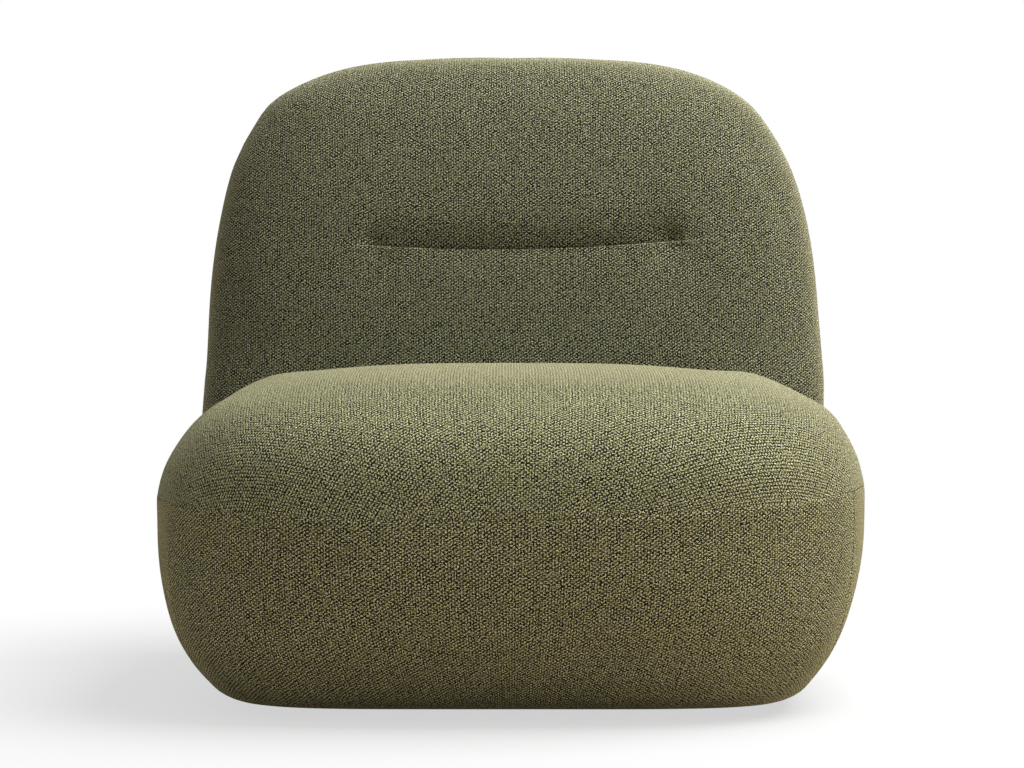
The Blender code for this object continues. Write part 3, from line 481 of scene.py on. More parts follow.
# %% [markdown]
# ## The sewn tuck
#
# One tuck crosses the front of the back. The cloth is caught along a line and drawn into the foam, so
# the padding above rolls over it and the padding below starts with a sharp ledge. The line bows down in
# the middle and sits a little to the right, and at each end the pull makes a small dimple. It could be
# painted as a dark line, but then it would vanish in raking light, so it is pulled in as shape. The fold
# of the ledge is shaded flat to stay crisp, and the weave is moved by the cloth that lies on the ledge.

# %% Front panel of the back
TUCK_MIDDLE = 0.014
TUCK_HALF = 0.214
TUCK_BOW = 0.0085
TUCK_TILT = 0.0032
TUCK_DEPTH = 0.014
TUCK_ABOVE = 0.020
TUCK_LEDGE = 0.0105
LEDGE_HEIGHT = 0.00004
TUCK_BELOW = 0.050
TUCK_END_POWER = 6
TAIL_DEPTH = 0.0020
TAIL_LENGTH = 0.045
TUCK_EASE = 0.090
SAME_HEIGHT = 0.00005
FOLD_NORMAL = 0.85
FOLD_REACH = 0.0012
LINE_LIMIT = 1.6
BEND_REACH = 0.10
BEND_HALF = 0.28
BEND_FULL = 1.4
DIMPLES = ((-0.178, 0.002, 0.006, 0.014), (0.203, 0.001, 0.010, 0.018))


def tuck_line(across):
    """Height of the crease: a parabola, a little higher at the right."""
    share = np.clip((across - TUCK_MIDDLE) / TUCK_HALF, -LINE_LIMIT, LINE_LIMIT)
    return TUCK_HEIGHT + TUCK_BOW * share ** 2 + TUCK_TILT * share


def tuck_pull(across, height):
    """How far the tuck draws the front in. Above the crease the depth falls off as exp(-distance / width).
    Below it most of the depth comes back at once, as a ledge, and the rest slowly. It fades at the ends as
    1 - |share|^6, and goes on as a faint tail. Round dimples sit at the ends."""
    share = np.abs(across - TUCK_MIDDLE) / TUCK_HALF
    rise = height - tuck_line(across)
    above = np.exp(-np.maximum(rise, 0) / TUCK_ABOVE)
    under = np.minimum(rise, 0)
    ledge = TUCK_LEDGE / TUCK_DEPTH
    below = ledge * np.exp(under / LEDGE_HEIGHT) + (1 - ledge) * np.exp(under / TUCK_BELOW)
    fall = np.where(rise > 0, above, below)
    tail = TAIL_DEPTH * np.exp(-np.clip(share - 1, 0, None) * TUCK_HALF / TAIL_LENGTH)
    pull = np.maximum(TUCK_DEPTH * np.clip(1 - share ** TUCK_END_POWER, 0, 1), tail) * fall
    for x, lift, depth, radius in DIMPLES:
        gap = np.hypot(across - x, (height - tuck_line(x) - lift))
        pull += depth * np.exp(-(gap / radius) ** 2)
    return pull


def tuck_take_up(across, height):
    """Length of cloth that lies on the ledge of the tuck. It moves the weave up above the crease, and
    the cloth there gives it back by and by as exp(-distance / length)."""
    rise = height - tuck_line(across)
    fade = np.clip(1 - (np.abs(across - TUCK_MIDDLE) / TUCK_HALF) ** TUCK_END_POWER, 0, 1)
    taken = TUCK_LEDGE * fade * np.exp(-np.maximum(rise, 0) / TUCK_EASE)
    return np.where(rise > -SAME_HEIGHT, taken, 0.0)


def read_array(items, key, width, kind=np.float32):
    """One property of all items of a mesh, with a row for each item."""
    values = np.empty(width * len(items), kind)
    items.foreach_get(key, values)
    return values.reshape(-1, width)


front_x = back_panel(panel_path, panel_turn, -1)[..., 0]
bend = np.exp(-np.abs(panel_path - TUCK_HEIGHT) / BEND_REACH)
bend = bend * np.clip(BEND_FULL - np.abs(front_x) / BEND_HALF, 0, 1)
bend = bend * np.clip((TOP_START - panel_path) / (TOP_START - TUCK_HEIGHT), 0, 1)
front_path = panel_path + bend * (tuck_line(front_x) - TUCK_HEIGHT)
front_points = back_panel(front_path, panel_turn, -1)
front_weave = panel_weave(front_points, front_path, -1)
front_weave[..., 1] += tuck_take_up(front_points[..., 0], front_points[..., 2])
front_points[..., 1] += tuck_pull(front_points[..., 0], front_points[..., 2])
front_faces, front_flat = grid_faces(*panel_path.shape, -1, pole=True)
back_front = add_piece("back_front", settle_back(front_points), front_faces, front_flat, front_weave,
                       FRAME_TO_FLOOR)
front_polygons = back_front.data.polygons
fold_x, _, fold_z = read_array(front_polygons, "center", 3).T
smooth = np.abs(read_array(front_polygons, "normal", 3)[:, 2]) < FOLD_NORMAL
smooth |= np.abs(fold_z - tuck_line(fold_x)) > FOLD_REACH
front_polygons.foreach_set("use_smooth", smooth)
print("front panel:", len(front_faces), "faces,", int(np.sum(~smooth)), "of them in the fold of the tuck")

# %% Rear panel of the back
rear_points = back_panel(panel_path, panel_turn, 1)
rear_faces, rear_flat = grid_faces(*panel_path.shape, 1, pole=True)
back_rear = add_piece("back_rear", settle_back(rear_points), rear_faces, rear_flat,
                      panel_weave(rear_points, panel_path, 1))
print("rear panel:", len(rear_faces), "faces")

# %% [markdown]
# ## The seat
#
# The seat is a low dome on a rounded plan. A tight seam runs round it just above the widest line, and
# the band below the seam draws in to the hem. At the rear both press against the back, so every point
# that would lie in the back is moved forward onto its surface, and the top rolls down into the crevice.

# %% Seat values
SEAT_HALF_WIDTH = 0.410
SEAT_HALF_DEPTH = 0.360
SEAT_CENTRE = -0.050
SEAT_TOP = 0.383
SEAT_WAIST = 0.205
SEAT_DRAW_IN = 0.086
SEAT_PLAN_POWER = 3.0
HEM_PLAN_POWER = 5.2
SEAT_CROWN_POWER = 3.2
SEAM_HEIGHT = 0.243
SEAM_DIP = 0.018
SEAM_TILT = 0.007
SEAM_DEPTH = 0.0007
SEAM_WIDTH = 0.004
GROOVE_START = 0.5
GROOVE_GROWTH = 0.25
SHOULDER_DROP = 0.009
SHOULDER_HEIGHT = 0.305
SHOULDER_SPREAD = 0.040
FULL_SHOULDER = 0.014
FULL_HEIGHT = 0.345
FULL_SPREAD = 0.028
REAR_FULL = 0.0095
REAR_FULL_PLACE = np.array([0.304, 0.080])
REAR_FULL_SPREAD = np.array([0.050, 0.115])
CREVICE_ROLL = 0.016
CREVICE_GAP = 0.0012
BESIDE_BACK = 1.0
SIDE_POWER = 3


def plan_reach(angle, half_wide, half_deep, power):
    """Distance from the middle of a rounded rectangle to its edge along a ray."""
    across = np.abs(np.cos(angle) / half_wide) ** power
    along = np.abs(np.sin(angle) / half_deep) ** power
    return (across + along) ** (-1 / power)


def on_side(angle, side):
    """How far a ray points to the right (side 1) or to the left (side -1), as the cube of its cosine."""
    return np.clip(side * np.cos(angle), 0, 1) ** SIDE_POWER


def seam_height(angle):
    """Height of the seam round the seat: it dips at the front and is a little higher at the right."""
    return SEAM_HEIGHT + SEAM_TILT * np.cos(angle) + SEAM_DIP * np.clip(np.sin(angle), -1, 0) ** 3


def front_of_back(x, z):
    """Where the front of the back lies, seen from the front. Beside the back it is far away."""
    wide, thick, centre = back_cut(z)
    share = np.minimum(np.abs(x) / np.maximum(wide, LEAST_WIDTH), 1)
    bulge = (1 - share ** BACK_CUT_POWER) ** (1 / BACK_CUT_POWER)
    return np.where(share < 1, centre - thick * bulge, BESIDE_BACK)


def press_on_back(points, roll):
    """Move points forward out of the back, after rolling the ones near it down into the crevice."""
    x, y, z = np.moveaxis(points, -1, 0)
    contact = front_of_back(x, z) - CREVICE_GAP
    near = np.clip(roll - (contact - y), 0, roll)
    drop = roll - np.sqrt(np.maximum(roll ** 2 - near ** 2, 0))
    return np.stack([x, np.minimum(y, contact - BACK_LEAN * drop), z - drop], -1)


def seat_dome(share, angle, groove):
    """The seat top: share 0 is the crown and 1 the seam. The rounded profile is followed by its angle,
    r = cos / (cos^p + sin^p)^(1/p) and the height likewise with sin. The seam's groove fades out half way
    to the crown. The left shoulder is slimmer, and the right one and both at the rear are fuller."""
    rise = SEAT_TOP - SEAT_WAIST
    start = np.arctan((seam_height(angle) - SEAT_WAIST) / rise)
    turn = start + (math.pi / 2 - start) * (1 - share)
    size = (np.cos(turn) ** SEAT_CROWN_POWER + np.sin(turn) ** SEAT_CROWN_POWER) ** (-1 / SEAT_CROWN_POWER)
    reach = np.cos(turn) * size * plan_reach(angle, SEAT_HALF_WIDTH, SEAT_HALF_DEPTH, SEAT_PLAN_POWER)
    height = SEAT_WAIST + rise * np.sin(turn) * size
    tuck_in = groove * np.exp(-(height - seam_height(angle)) / SEAM_WIDTH)
    reach = reach - tuck_in * np.clip((share - GROOVE_START) / GROOVE_GROWTH, 0, 1)
    slimmer = SHOULDER_DROP * hill(height, SHOULDER_HEIGHT, SHOULDER_SPREAD)
    fuller = FULL_SHOULDER * hill(height, FULL_HEIGHT, FULL_SPREAD)
    reach = reach - slimmer * on_side(angle, -1) + fuller * on_side(angle, 1)
    x, y = reach * np.cos(angle), SEAT_CENTRE + reach * np.sin(angle)
    away = (np.stack([np.abs(x), y], -1) - REAR_FULL_PLACE) / REAR_FULL_SPREAD
    return np.stack([x, y, height + REAR_FULL * np.exp(-np.sum(away ** 2, axis=-1))], -1)


def dome_height(x, y):
    """The same dome as a height over the plan, for measuring lengths on it."""
    plan = ((np.abs(x) / SEAT_HALF_WIDTH) ** SEAT_PLAN_POWER
            + (np.abs(y - SEAT_CENTRE) / SEAT_HALF_DEPTH) ** SEAT_PLAN_POWER) ** (1 / SEAT_PLAN_POWER)
    rise = np.clip(1 - plan ** SEAT_CROWN_POWER, 0, 1) ** (1 / SEAT_CROWN_POWER)
    return np.stack([x, y, SEAT_WAIST + (SEAT_TOP - SEAT_WAIST) * rise], -1)


print("the seat is", 2 * SEAT_HALF_WIDTH, "wide and", SEAT_TOP, "high")

# %% [markdown]
# ## Flatten the seat panel
#
# A dome can't be laid flat without stretching, so a pattern cutter eases the excess in at the corners.
# The weave has to show that. The lengths along x and y alone would squeeze the nubs at the corners. Here
# the flat panel starts from those lengths, and then each link between neighbours pulls or pushes until
# it is about as long as on the dome. A coarse grid comes first, because it settles quickly.

# %% Flattening
FLATTEN_ROUNDS = (1500, 500, 200)
FLATTEN_SHARE = 0.1
LINKS = ((1, 0), (0, 1), (1, 1), (1, -1))


def link_ends(grid, down, on):
    """Both ends of every link of one direction in a grid, as views."""
    rows, columns = grid.shape[:2]
    first = grid[:rows - down, max(0, -on):columns - max(0, on)]
    second = grid[down:, max(0, on):columns - max(0, -on)]
    return first, second


def link_lengths(grid, link):
    """Length of every link of one direction."""
    first, second = link_ends(grid, *link)
    return np.linalg.norm(second - first, axis=-1, keepdims=True)


def relax(flat, points, rounds):
    """Move flat points so that their links get as long as between the points in space. In each round
    both ends of a link move by a share of the difference in its length."""
    lengths = [link_lengths(points, link) for link in LINKS]
    for _ in range(rounds):
        move = np.zeros_like(flat)
        for link, length in zip(LINKS, lengths):
            first, second = link_ends(flat, *link)
            pull = FLATTEN_SHARE * (second - first) * (1 - length / link_lengths(flat, link))
            first_move, second_move = link_ends(move, *link)
            first_move += pull
            second_move -= pull
        flat = flat + move
    return flat


def refine(grid):
    """Put a row and a column half way between each two of a grid."""
    for axis in (0, 1):
        lines = np.moveaxis(grid, axis, 0)
        finer = np.empty((2 * len(lines) - 1, *lines.shape[1:]))
        finer[::2] = lines
        finer[1::2] = (lines[1:] + lines[:-1]) / 2
        grid = np.moveaxis(finer, 0, axis)
    return grid


print("the seat panel is flattened in", len(FLATTEN_ROUNDS), "steps")

# %% Seat top
SEAT_COUNT = 165
even = np.linspace(-1, 1, SEAT_COUNT)
seat_share, seat_angle = disc_grid(even, even)
dome = seat_dome(seat_share, seat_angle, SEAM_DEPTH)
seat_x, seat_y, _ = np.moveaxis(seat_dome(seat_share, seat_angle, 0.0), -1, 0)
middle_x, middle_y = np.zeros_like(seat_x), np.full_like(seat_y, SEAT_CENTRE)
seat_u = np.sign(seat_x) * arc_length(dome_height, (middle_x, seat_y), (seat_x, seat_y))
seat_v = np.sign(seat_y - SEAT_CENTRE) * arc_length(dome_height, (seat_x, middle_y), (seat_x, seat_y))
coarsest = 2 ** (len(FLATTEN_ROUNDS) - 1)
seat_weave = np.stack([seat_u, seat_v], -1)[::coarsest, ::coarsest]
for number, rounds in enumerate(FLATTEN_ROUNDS):
    step = coarsest // 2 ** number
    seat_weave = relax(refine(seat_weave) if number else seat_weave, dome[::step, ::step], rounds)
seat_faces, seat_flat = grid_faces(SEAT_COUNT, SEAT_COUNT, 1)
seat_top = add_piece("seat_top", press_on_back(dome, CREVICE_ROLL), seat_faces, seat_flat, seat_weave)
print("seat top:", len(seat_faces), "faces, flat", np.round(np.ptp(seat_weave, axis=(0, 1)), 3), "m")

# %% [markdown]
# ## The band under the seam
#
# The band is one strip round the seat with an upright seam at each front corner. It starts at the seam
# of the top, is widest a little lower, draws in towards the floor, and turns under the frame.

# %% Seat band
BAND_AROUND = 420
BAND_LEVELS = 72
BAND_MEASURED_ROW = 9
BAND_ROLL = 1e-4
SEAM_COLUMNS = (-0.016, -0.010, -0.006, -0.003, 0.0, 0.003, 0.006, 0.010, 0.016)
CORNER_SEAM = -0.50
CORNER_DEPTH = (0.0020, 0.0005)
CORNER_WIDTH = 0.004
FULL_FOOT = 0.006
FOOT_HEIGHT = 0.065
FOOT_SPREAD = 0.045
SLIM_SIDE = 0.0040
SLIM_SIDE_HEIGHT = 0.120
SLIM_SIDE_SPREAD = 0.055


def seat_band(angle, share):
    """The band: share 0 is the seam and 1 the stapled edge. The inset grows as t^2.5 below the widest
    line, and the plan gets squarer with it. The left foot is fuller and the right side slimmer."""
    top = seam_height(angle)
    path = top + (HEM_END - top) * share
    height, turn_in = hem_path(path)
    low = np.clip((SEAT_WAIST - height) / (SEAT_WAIST - HEM_HEIGHT), 0, 1)
    high = np.clip((height - SEAT_WAIST) / (SEAT_TOP - SEAT_WAIST), 0, 1)
    inset = SEAT_DRAW_IN * low ** DRAW_IN_POWER
    power = SEAT_PLAN_POWER + (HEM_PLAN_POWER - SEAT_PLAN_POWER) * low ** DRAW_IN_POWER
    inset = inset + turn_in
    reach = plan_reach(angle, SEAT_HALF_WIDTH - inset, SEAT_HALF_DEPTH - inset, power)
    reach = reach * (1 - high ** SEAT_CROWN_POWER) ** (1 / SEAT_CROWN_POWER)
    reach = reach - SEAM_DEPTH * np.exp(-(top - path) / SEAM_WIDTH)
    foot = FULL_FOOT * hill(path, FOOT_HEIGHT, FOOT_SPREAD)
    slimmer = SLIM_SIDE * hill(path, SLIM_SIDE_HEIGHT, SLIM_SIDE_SPREAD)
    reach = reach + foot * on_side(angle, -1) - slimmer * on_side(angle, 1)
    for corner_angle, depth in zip((CORNER_SEAM, -math.pi - CORNER_SEAM), CORNER_DEPTH):
        gap = np.abs(np.angle(np.exp(1j * (angle - corner_angle)))) * SEAT_HALF_WIDTH
        reach = reach - depth * np.exp(-gap / CORNER_WIDTH)
    return np.stack([reach * np.cos(angle), SEAT_CENTRE + reach * np.sin(angle), height], -1)


even_turn = np.linspace(-1.5 * math.pi, 0.5 * math.pi, BAND_AROUND, endpoint=False)
seam_turn = [place + step for place in (CORNER_SEAM, -math.pi - CORNER_SEAM) for step in SEAM_COLUMNS]
clear = np.min(np.abs(even_turn[:, None] - np.array(seam_turn)), axis=1) > SEAM_COLUMNS[-1] / 3
band_turn = np.sort(np.concatenate([even_turn[clear], seam_turn, [0.5 * math.pi]]))
band_angle, band_share = np.meshgrid(band_turn, np.linspace(0, 1, BAND_LEVELS))
band = seat_band(band_angle, band_share)
waist_row = band[BAND_MEASURED_ROW]
band_u = np.concatenate([[0.0], np.cumsum(np.linalg.norm(np.diff(waist_row, axis=0), axis=1))])
band_v = np.cumsum(np.linalg.norm(np.diff(band, axis=0, prepend=band[:1]), axis=2), axis=0)
band_weave = np.stack([np.broadcast_to(band_u, band_v.shape), -band_v], -1)
band_faces, band_flat = grid_faces(BAND_LEVELS, len(band_turn) - 1, -1, closed=True)
band_points = press_on_back(band[:, :-1], BAND_ROLL)
seat_band_piece = add_piece("seat_band", band_points, band_faces, band_flat, band_weave)
print("seat band:", len(band_faces), "faces")

# %% [markdown]
# ## Let the cloth swell
#
# So far the covers are smooth formulas. Real covers are pulled tight over foam that pushes back, so the
# cloth bulges between the lines that hold it: the seams, the tuck, the hem and the places where seat and
# back press together. So each cover starts 1.5 or 2 mm smaller between those lines, and Blender's cloth
# blows it up for twenty frames. At this pressure most of the cloth hardly moves, so the formulas give
# nearly all of the form. Where a point goes far, a cap and some averaging keep it from making a spike. The
# result goes into the mesh and the simulation is taken off again.

# %% Swelling
SWELL_PRESSURE = 4.0
SWELL_FRAMES = 20
SWELL_QUALITY = 3
BACK_SWELL = (0.002, 0.003)
SEAT_SWELL = (0.0015, 0.0025)
RAMP_ROUNDS = 60
SMOOTH_ROUNDS = 16
# Where a cover is held: distances and heights in metres, and an angle at the corner seam.
HELD_TUCK = 0.004
HELD_BEHIND_SEAT = 0.36
HELD_HEM = 0.028
HELD_TOP_CONTACT = 0.020
HELD_BAND_CONTACT = 0.010
HELD_CORNER = 0.006


def read_points(piece):
    """The corners of a piece as an array."""
    return read_array(piece.data.vertices, "co", 3).astype(float)


def write_points(piece, points):
    """Move the corners of a piece."""
    piece.data.vertices.foreach_set("co", points.astype(np.float32).ravel())
    piece.data.update()


def edge_ends(piece):
    """The two corners of each edge."""
    return read_array(piece.data.edges, "vertices", 2, np.int32)


def soften(piece, values, held, rounds):
    """Average values over neighbouring corners, while the held corners stay at zero."""
    first, second = edge_ends(piece).T
    size = len(values)
    links = np.bincount(first, minlength=size) + np.bincount(second, minlength=size)
    for _ in range(rounds):
        total = np.bincount(first, values[second], size) + np.bincount(second, values[first], size)
        values = np.where(held, 0.0, (values + total / links) / 2)
    return values


def swell(piece, held, inset, cap):
    """Blow up a cover with cloth pressure between its held corners, from a start that is smaller by the
    inset, and keep how far each corner went outwards up to the cap, evened out a little."""
    points = read_points(piece)
    normals = read_array(piece.data.vertex_normals, "vector", 3).astype(float)
    ramp = soften(piece, np.ones(len(points)), held, RAMP_ROUNDS)
    start = points - inset * ramp[:, None] * normals
    write_points(piece, start)
    group = piece.vertex_groups.new(name="held")
    group.add(np.flatnonzero(held).tolist(), 1.0, "REPLACE")
    cloth = piece.modifiers.new("swell", "CLOTH")
    cloth.settings.quality = SWELL_QUALITY
    cloth.settings.vertex_group_mass = "held"
    cloth.settings.use_pressure = True
    cloth.settings.uniform_pressure_force = SWELL_PRESSURE
    cloth.settings.effector_weights.gravity = 0.0
    cloth.point_cache.frame_end = SWELL_FRAMES
    for frame_number in range(1, SWELL_FRAMES + 1):
        bpy.context.scene.frame_set(frame_number)
    blown = piece.evaluated_get(bpy.context.evaluated_depsgraph_get())
    outward = np.sum((read_points(blown) - start) * normals, axis=1)
    piece.modifiers.remove(cloth)
    piece.vertex_groups.remove(group)
    kept = soften(piece, np.clip(outward, 0, cap), held, SMOOTH_ROUNDS)
    write_points(piece, start + kept[:, None] * normals)
    bpy.context.scene.frame_set(1)
    print(piece.name, "went out by", round(1000 * float(outward.max()), 1), "mm at most and",
          round(1000 * float(np.median(outward)), 1), "mm in the median, before the cap")


def edge_corners(piece):
    """True for the corners on an open edge, found as the edges with a single face."""
    edge_of_loop = read_array(piece.data.loops, "edge_index", 1, np.int32).ravel()
    single = np.bincount(edge_of_loop, minlength=len(piece.data.edges)) == 1
    held = np.zeros(len(piece.data.vertices), bool)
    held[edge_ends(piece)[single].ravel()] = True
    return held


def near_contact(points, reach):
    """True for points of the seat that lie close to the back."""
    return points[:, 1] > front_of_back(points[:, 0], points[:, 2]) - reach


front_now = read_points(back_front)
rise = front_now[:, 2] - tuck_line(front_now[:, 0])
in_tuck = (np.abs(rise) < HELD_TUCK) & (np.abs(front_now[:, 0] - TUCK_MIDDLE) < TUCK_HALF)
hidden = front_now[:, 2] < HELD_BEHIND_SEAT
swell(back_front, edge_corners(back_front) | in_tuck | hidden, *BACK_SWELL)
rear_hem = read_points(back_rear)[:, 2] < HELD_HEM
swell(back_rear, edge_corners(back_rear) | rear_hem, *BACK_SWELL)
at_back = near_contact(read_points(seat_top), HELD_TOP_CONTACT)
swell(seat_top, edge_corners(seat_top) | at_back, *SEAT_SWELL)
band_now = read_points(seat_band_piece)
band_turns = np.arctan2(band_now[:, 1] - SEAT_CENTRE, np.abs(band_now[:, 0]))
on_corner = np.abs(band_turns - CORNER_SEAM) < HELD_CORNER
held = edge_corners(seat_band_piece) | on_corner | (band_now[:, 2] < HELD_HEM)
swell(seat_band_piece, held | near_contact(band_now, HELD_BAND_CONTACT), *SEAT_SWELL)

# %% [markdown]
# ## The weave
#
# The cloth is a nubbly chenille: each fat yarn goes over one crossing yarn and under the next, so the
# nubs stand like the squares of one colour on a chess board, 6.5 mm apart across and 4.1 mm apart down. A
# picture of cloth would tile and blur. Here a cell pattern, turned by 45 degrees on the flat cloth, gives
# one cell for each nub. The distance from a cell's middle makes the nub's round relief. Fine noise adds
# the fuzz, and waves along warp, weft and twill add the threads. A ramp turns the relief into dark gaps
# and light tips; the near-black of the gaps is partly the weave's darker ground and partly painted shade
# between the nubs. The cell's own random colour changes the tone of the nub a little. Seen from the
# side, the short fibres on the tips catch light, so the sheen sits on the tips and grows towards the rim.

# %% Weave material
NUB_ACROSS = 0.0065
NUB_DOWN = 0.0041
NUB_SCATTER = 0.28
NUB_RADII = (0.62, 0.05)
WOBBLE_SCALE = 95.0
WOBBLE = (0.0022, 0.0022, 0.0)
FUZZ_SCALE = 780.0
FUZZ_MEAN = 0.41
FUZZ_RELIEF = 2.4
NUB_RELIEF = 0.76
WARP_RELIEF = 0.20
WEFT_RELIEF = 0.14
TWILL_RELIEF = 0.12
RELIEF_TO_RAMP = 0.85
RELIEF_HEIGHT = 0.0016
TIP_RELIEF = (0.40, 0.80)
TIP_SHEEN = (0.55, 1.40)
ROW_STREAKS = (14.0, 230.0, 1.0)
COLUMN_STREAKS = (200.0, 11.0, 1.0)
CLOUD_SCALE = 11.0
NOISE_RANGE = (0.25, 0.75)
NUB_LEVELS = (0.96, 1.04)
CLOUD_LEVELS = (0.98, 1.02)
TINGE_FROM = (0.55, 1.0)
TINGE_MOST = 0.35
CLOTH_ROUGHNESS = 0.92
CLOTH_SPECULAR = 0.10
SHEEN_ROUGHNESS = 0.50


def weave_material(name, light, middle, dark, tinge, steps, sheen, rim_facing, sheen_tint):
    """Chenille cloth on the piece's own flat map, in metres. The sheen sits on the tips of the nubs
    and grows towards the rim."""
    wiring = Wiring(bpy.data.materials.new(name))
    flat = wiring.add("ShaderNodeUVMap", {"uv_map": "weave"}).outputs["UV"]
    noise = wiring.add("ShaderNodeTexNoise", Vector=flat, Scale=WOBBLE_SCALE, Detail=1.0).outputs["Color"]
    wobble = wiring.add("ShaderNodeVectorMath", {"operation": "MULTIPLY_ADD"}, (noise, WOBBLE, flat))
    diagonal = math.sqrt(2)
    lattice = wiring.add("ShaderNodeMapping", Vector=wobble.outputs[0], Rotation=(0.0, 0.0, math.pi / 4),
                         Scale=(diagonal / NUB_ACROSS, diagonal / NUB_DOWN, 1.0)).outputs["Vector"]
    cells = wiring.add("ShaderNodeTexVoronoi", {"voronoi_dimensions": "2D"}, Vector=lattice, Scale=1.0,
                       Randomness=NUB_SCATTER)
    split = wiring.add("ShaderNodeSeparateColor", Color=cells.outputs["Color"])
    nub = wiring.remap(cells.outputs["Distance"], *NUB_RADII, 0.0, 1.0)
    fuzz = wiring.math("SUBTRACT", wiring.noise(flat, FUZZ_SCALE, 0.0), FUZZ_MEAN)
    thread = wiring.add("ShaderNodeSeparateXYZ", Vector=wobble.outputs[0])
    warp = wiring.math("MULTIPLY", thread.outputs[0], 4 * math.pi / NUB_ACROSS)
    weft = wiring.math("MULTIPLY", thread.outputs[1], 2 * math.pi / NUB_DOWN)
    twill = wiring.math("SUBTRACT", wiring.math("MULTIPLY", warp, 0.5), weft)
    double_weft = wiring.math("MULTIPLY", weft, 2.0)
    relief = wiring.math("MULTIPLY_ADD", fuzz, FUZZ_RELIEF, wiring.math("MULTIPLY", nub, NUB_RELIEF))
    for wave, share in ((warp, WARP_RELIEF), (double_weft, WEFT_RELIEF), (twill, TWILL_RELIEF)):
        relief = wiring.math("MULTIPLY_ADD", wiring.math("COSINE", wave), share, relief)
    ramp = wiring.add("ShaderNodeValToRGB", Fac=wiring.math("MULTIPLY", relief, RELIEF_TO_RAMP))
    # The ramp's dark end is near black: partly the weave's darker ground and partly painted shade in the
    # hollows between the nubs.
    ramp.color_ramp.elements[0].position = steps[0]
    ramp.color_ramp.elements[0].color = (*dark, 1.0)
    ramp.color_ramp.elements[1].position = steps[2]
    ramp.color_ramp.elements[1].color = (*light, 1.0)
    ramp.color_ramp.elements.new(steps[1]).color = (*middle, 1.0)
    level = wiring.remap(split.outputs[0], 0.0, 1.0, *NUB_LEVELS)
    for size in (ROW_STREAKS, COLUMN_STREAKS):
        streaks = wiring.noise(wiring.stretch(flat, size), 1.0)
        level = wiring.math("MULTIPLY", level, wiring.remap(streaks, *NOISE_RANGE, *NUB_LEVELS))
    clouds = wiring.remap(wiring.noise(flat, CLOUD_SCALE), *NOISE_RANGE, *CLOUD_LEVELS)
    level = wiring.math("MULTIPLY", level, clouds)
    grey = wiring.add("ShaderNodeCombineColor", Red=level, Green=level, Blue=level).outputs[0]
    tinge_share = wiring.remap(split.outputs[1], *TINGE_FROM, 0.0, TINGE_MOST)
    tinted = wiring.blend(tinge_share, ramp.outputs[0], (*tinge, 1.0))
    colour = wiring.blend(1.0, tinted, grey, "MULTIPLY")
    facing = wiring.add("ShaderNodeLayerWeight", Blend=0.5).outputs["Facing"]
    tips = wiring.remap(relief, *TIP_RELIEF, *TIP_SHEEN)
    rim = wiring.math("MULTIPLY", wiring.remap(facing, *rim_facing, *sheen), tips)
    return wiring.finish(Base_Color=colour, Roughness=CLOTH_ROUGHNESS, Sheen_Weight=rim,
                         Normal=wiring.bump(relief, 1.0, RELIEF_HEIGHT), Sheen_Roughness=SHEEN_ROUGHNESS,
                         Sheen_Tint=(*sheen_tint, 1.0), Specular_IOR_Level=CLOTH_SPECULAR)


# One cloth in three copies, painted lighter and darker for light and shade: the seat's and the band's
# copies are about half again lighter than the back's.
olive = weave_material(
    "olive_weave", light=(0.46, 0.46, 0.282), middle=(0.086, 0.085, 0.050), dark=(0.001, 0.001, 0.001),
    tinge=(0.18, 0.17, 0.070), steps=(0.46, 0.57, 0.72), sheen=(0.06, 0.72), rim_facing=(0.26, 0.82),
    sheen_tint=(0.95, 0.90, 0.55))
seat_weave_painted_light = weave_material(
    "olive_weave_seat_painted_light", light=(0.72, 0.71, 0.415), middle=(0.166, 0.163, 0.089),
    dark=(0.002, 0.002, 0.001), tinge=(0.32, 0.31, 0.115), steps=(0.45, 0.58, 0.74), sheen=(0.08, 0.60),
    rim_facing=(0.57, 0.88), sheen_tint=(0.95, 0.90, 0.55))
band_weave_painted_light = weave_material(
    "olive_weave_band_painted_light", light=(0.72, 0.695, 0.400), middle=(0.162, 0.156, 0.080),
    dark=(0.002, 0.002, 0.001), tinge=(0.28, 0.260, 0.096), steps=(0.45, 0.58, 0.74), sheen=(0.06, 0.74),
    rim_facing=(0.57, 0.88), sheen_tint=(0.95, 0.86, 0.48))
print("three mixes of the weave")

# %% [markdown]
# ## Finish the covers
#
# Each cover gets the thickness of the cloth, inwards, so it is a closed body, and rides on the chair.
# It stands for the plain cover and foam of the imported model.

# %% Cover thickness, finish and bodies
COVER_THICKNESS = 0.003
covers = (
    (back_front, olive, "olive_fabric", ("back_front_cover", "back_foam")),
    (back_rear, olive, "olive_fabric", ("back_rear_cover",)),
    (seat_top, seat_weave_painted_light, "olive_fabric", ("seat_top_cover", "seat_foam")),
    (seat_band_piece, band_weave_painted_light, "olive_fabric_skirt", ("seat_skirt_cover",)),
)
for piece, cloth, slot, nodes in covers:
    piece.data.materials.append(cloth)
    wall = piece.modifiers.new("cloth_thickness", "SOLIDIFY")
    wall.thickness = COVER_THICKNESS
    wall.offset = -1.0
    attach(piece, "chair")
    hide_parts(*nodes)
print("four covers")

# %% [markdown]
# ## The dust cover
#
# Under the chair a black fleece closes the box, stapled to the board all round and round the opening for
# the bearing. A flat plate with a hole would do, but a fleece hangs down a little between the staples. Its
# grid runs along rays from the swivel axis, from the round opening out to the straight edges.

# %% Dust cover
FLEECE_LOW = np.array([-0.22254, -0.23586])
FLEECE_HIGH = np.array([0.22254, 0.22990])
FLEECE_OPENING = 0.1465
FLEECE_TOP = 0.0366
FLEECE_SAG = 0.0014
FLEECE_PUCKER = 0.0006
FLEECE_THICKNESS = 0.0004
STAPLE_PITCH = 0.045
FLEECE_RAYS = 240
FLEECE_RINGS = 15
LEAST_PART = 1e-9


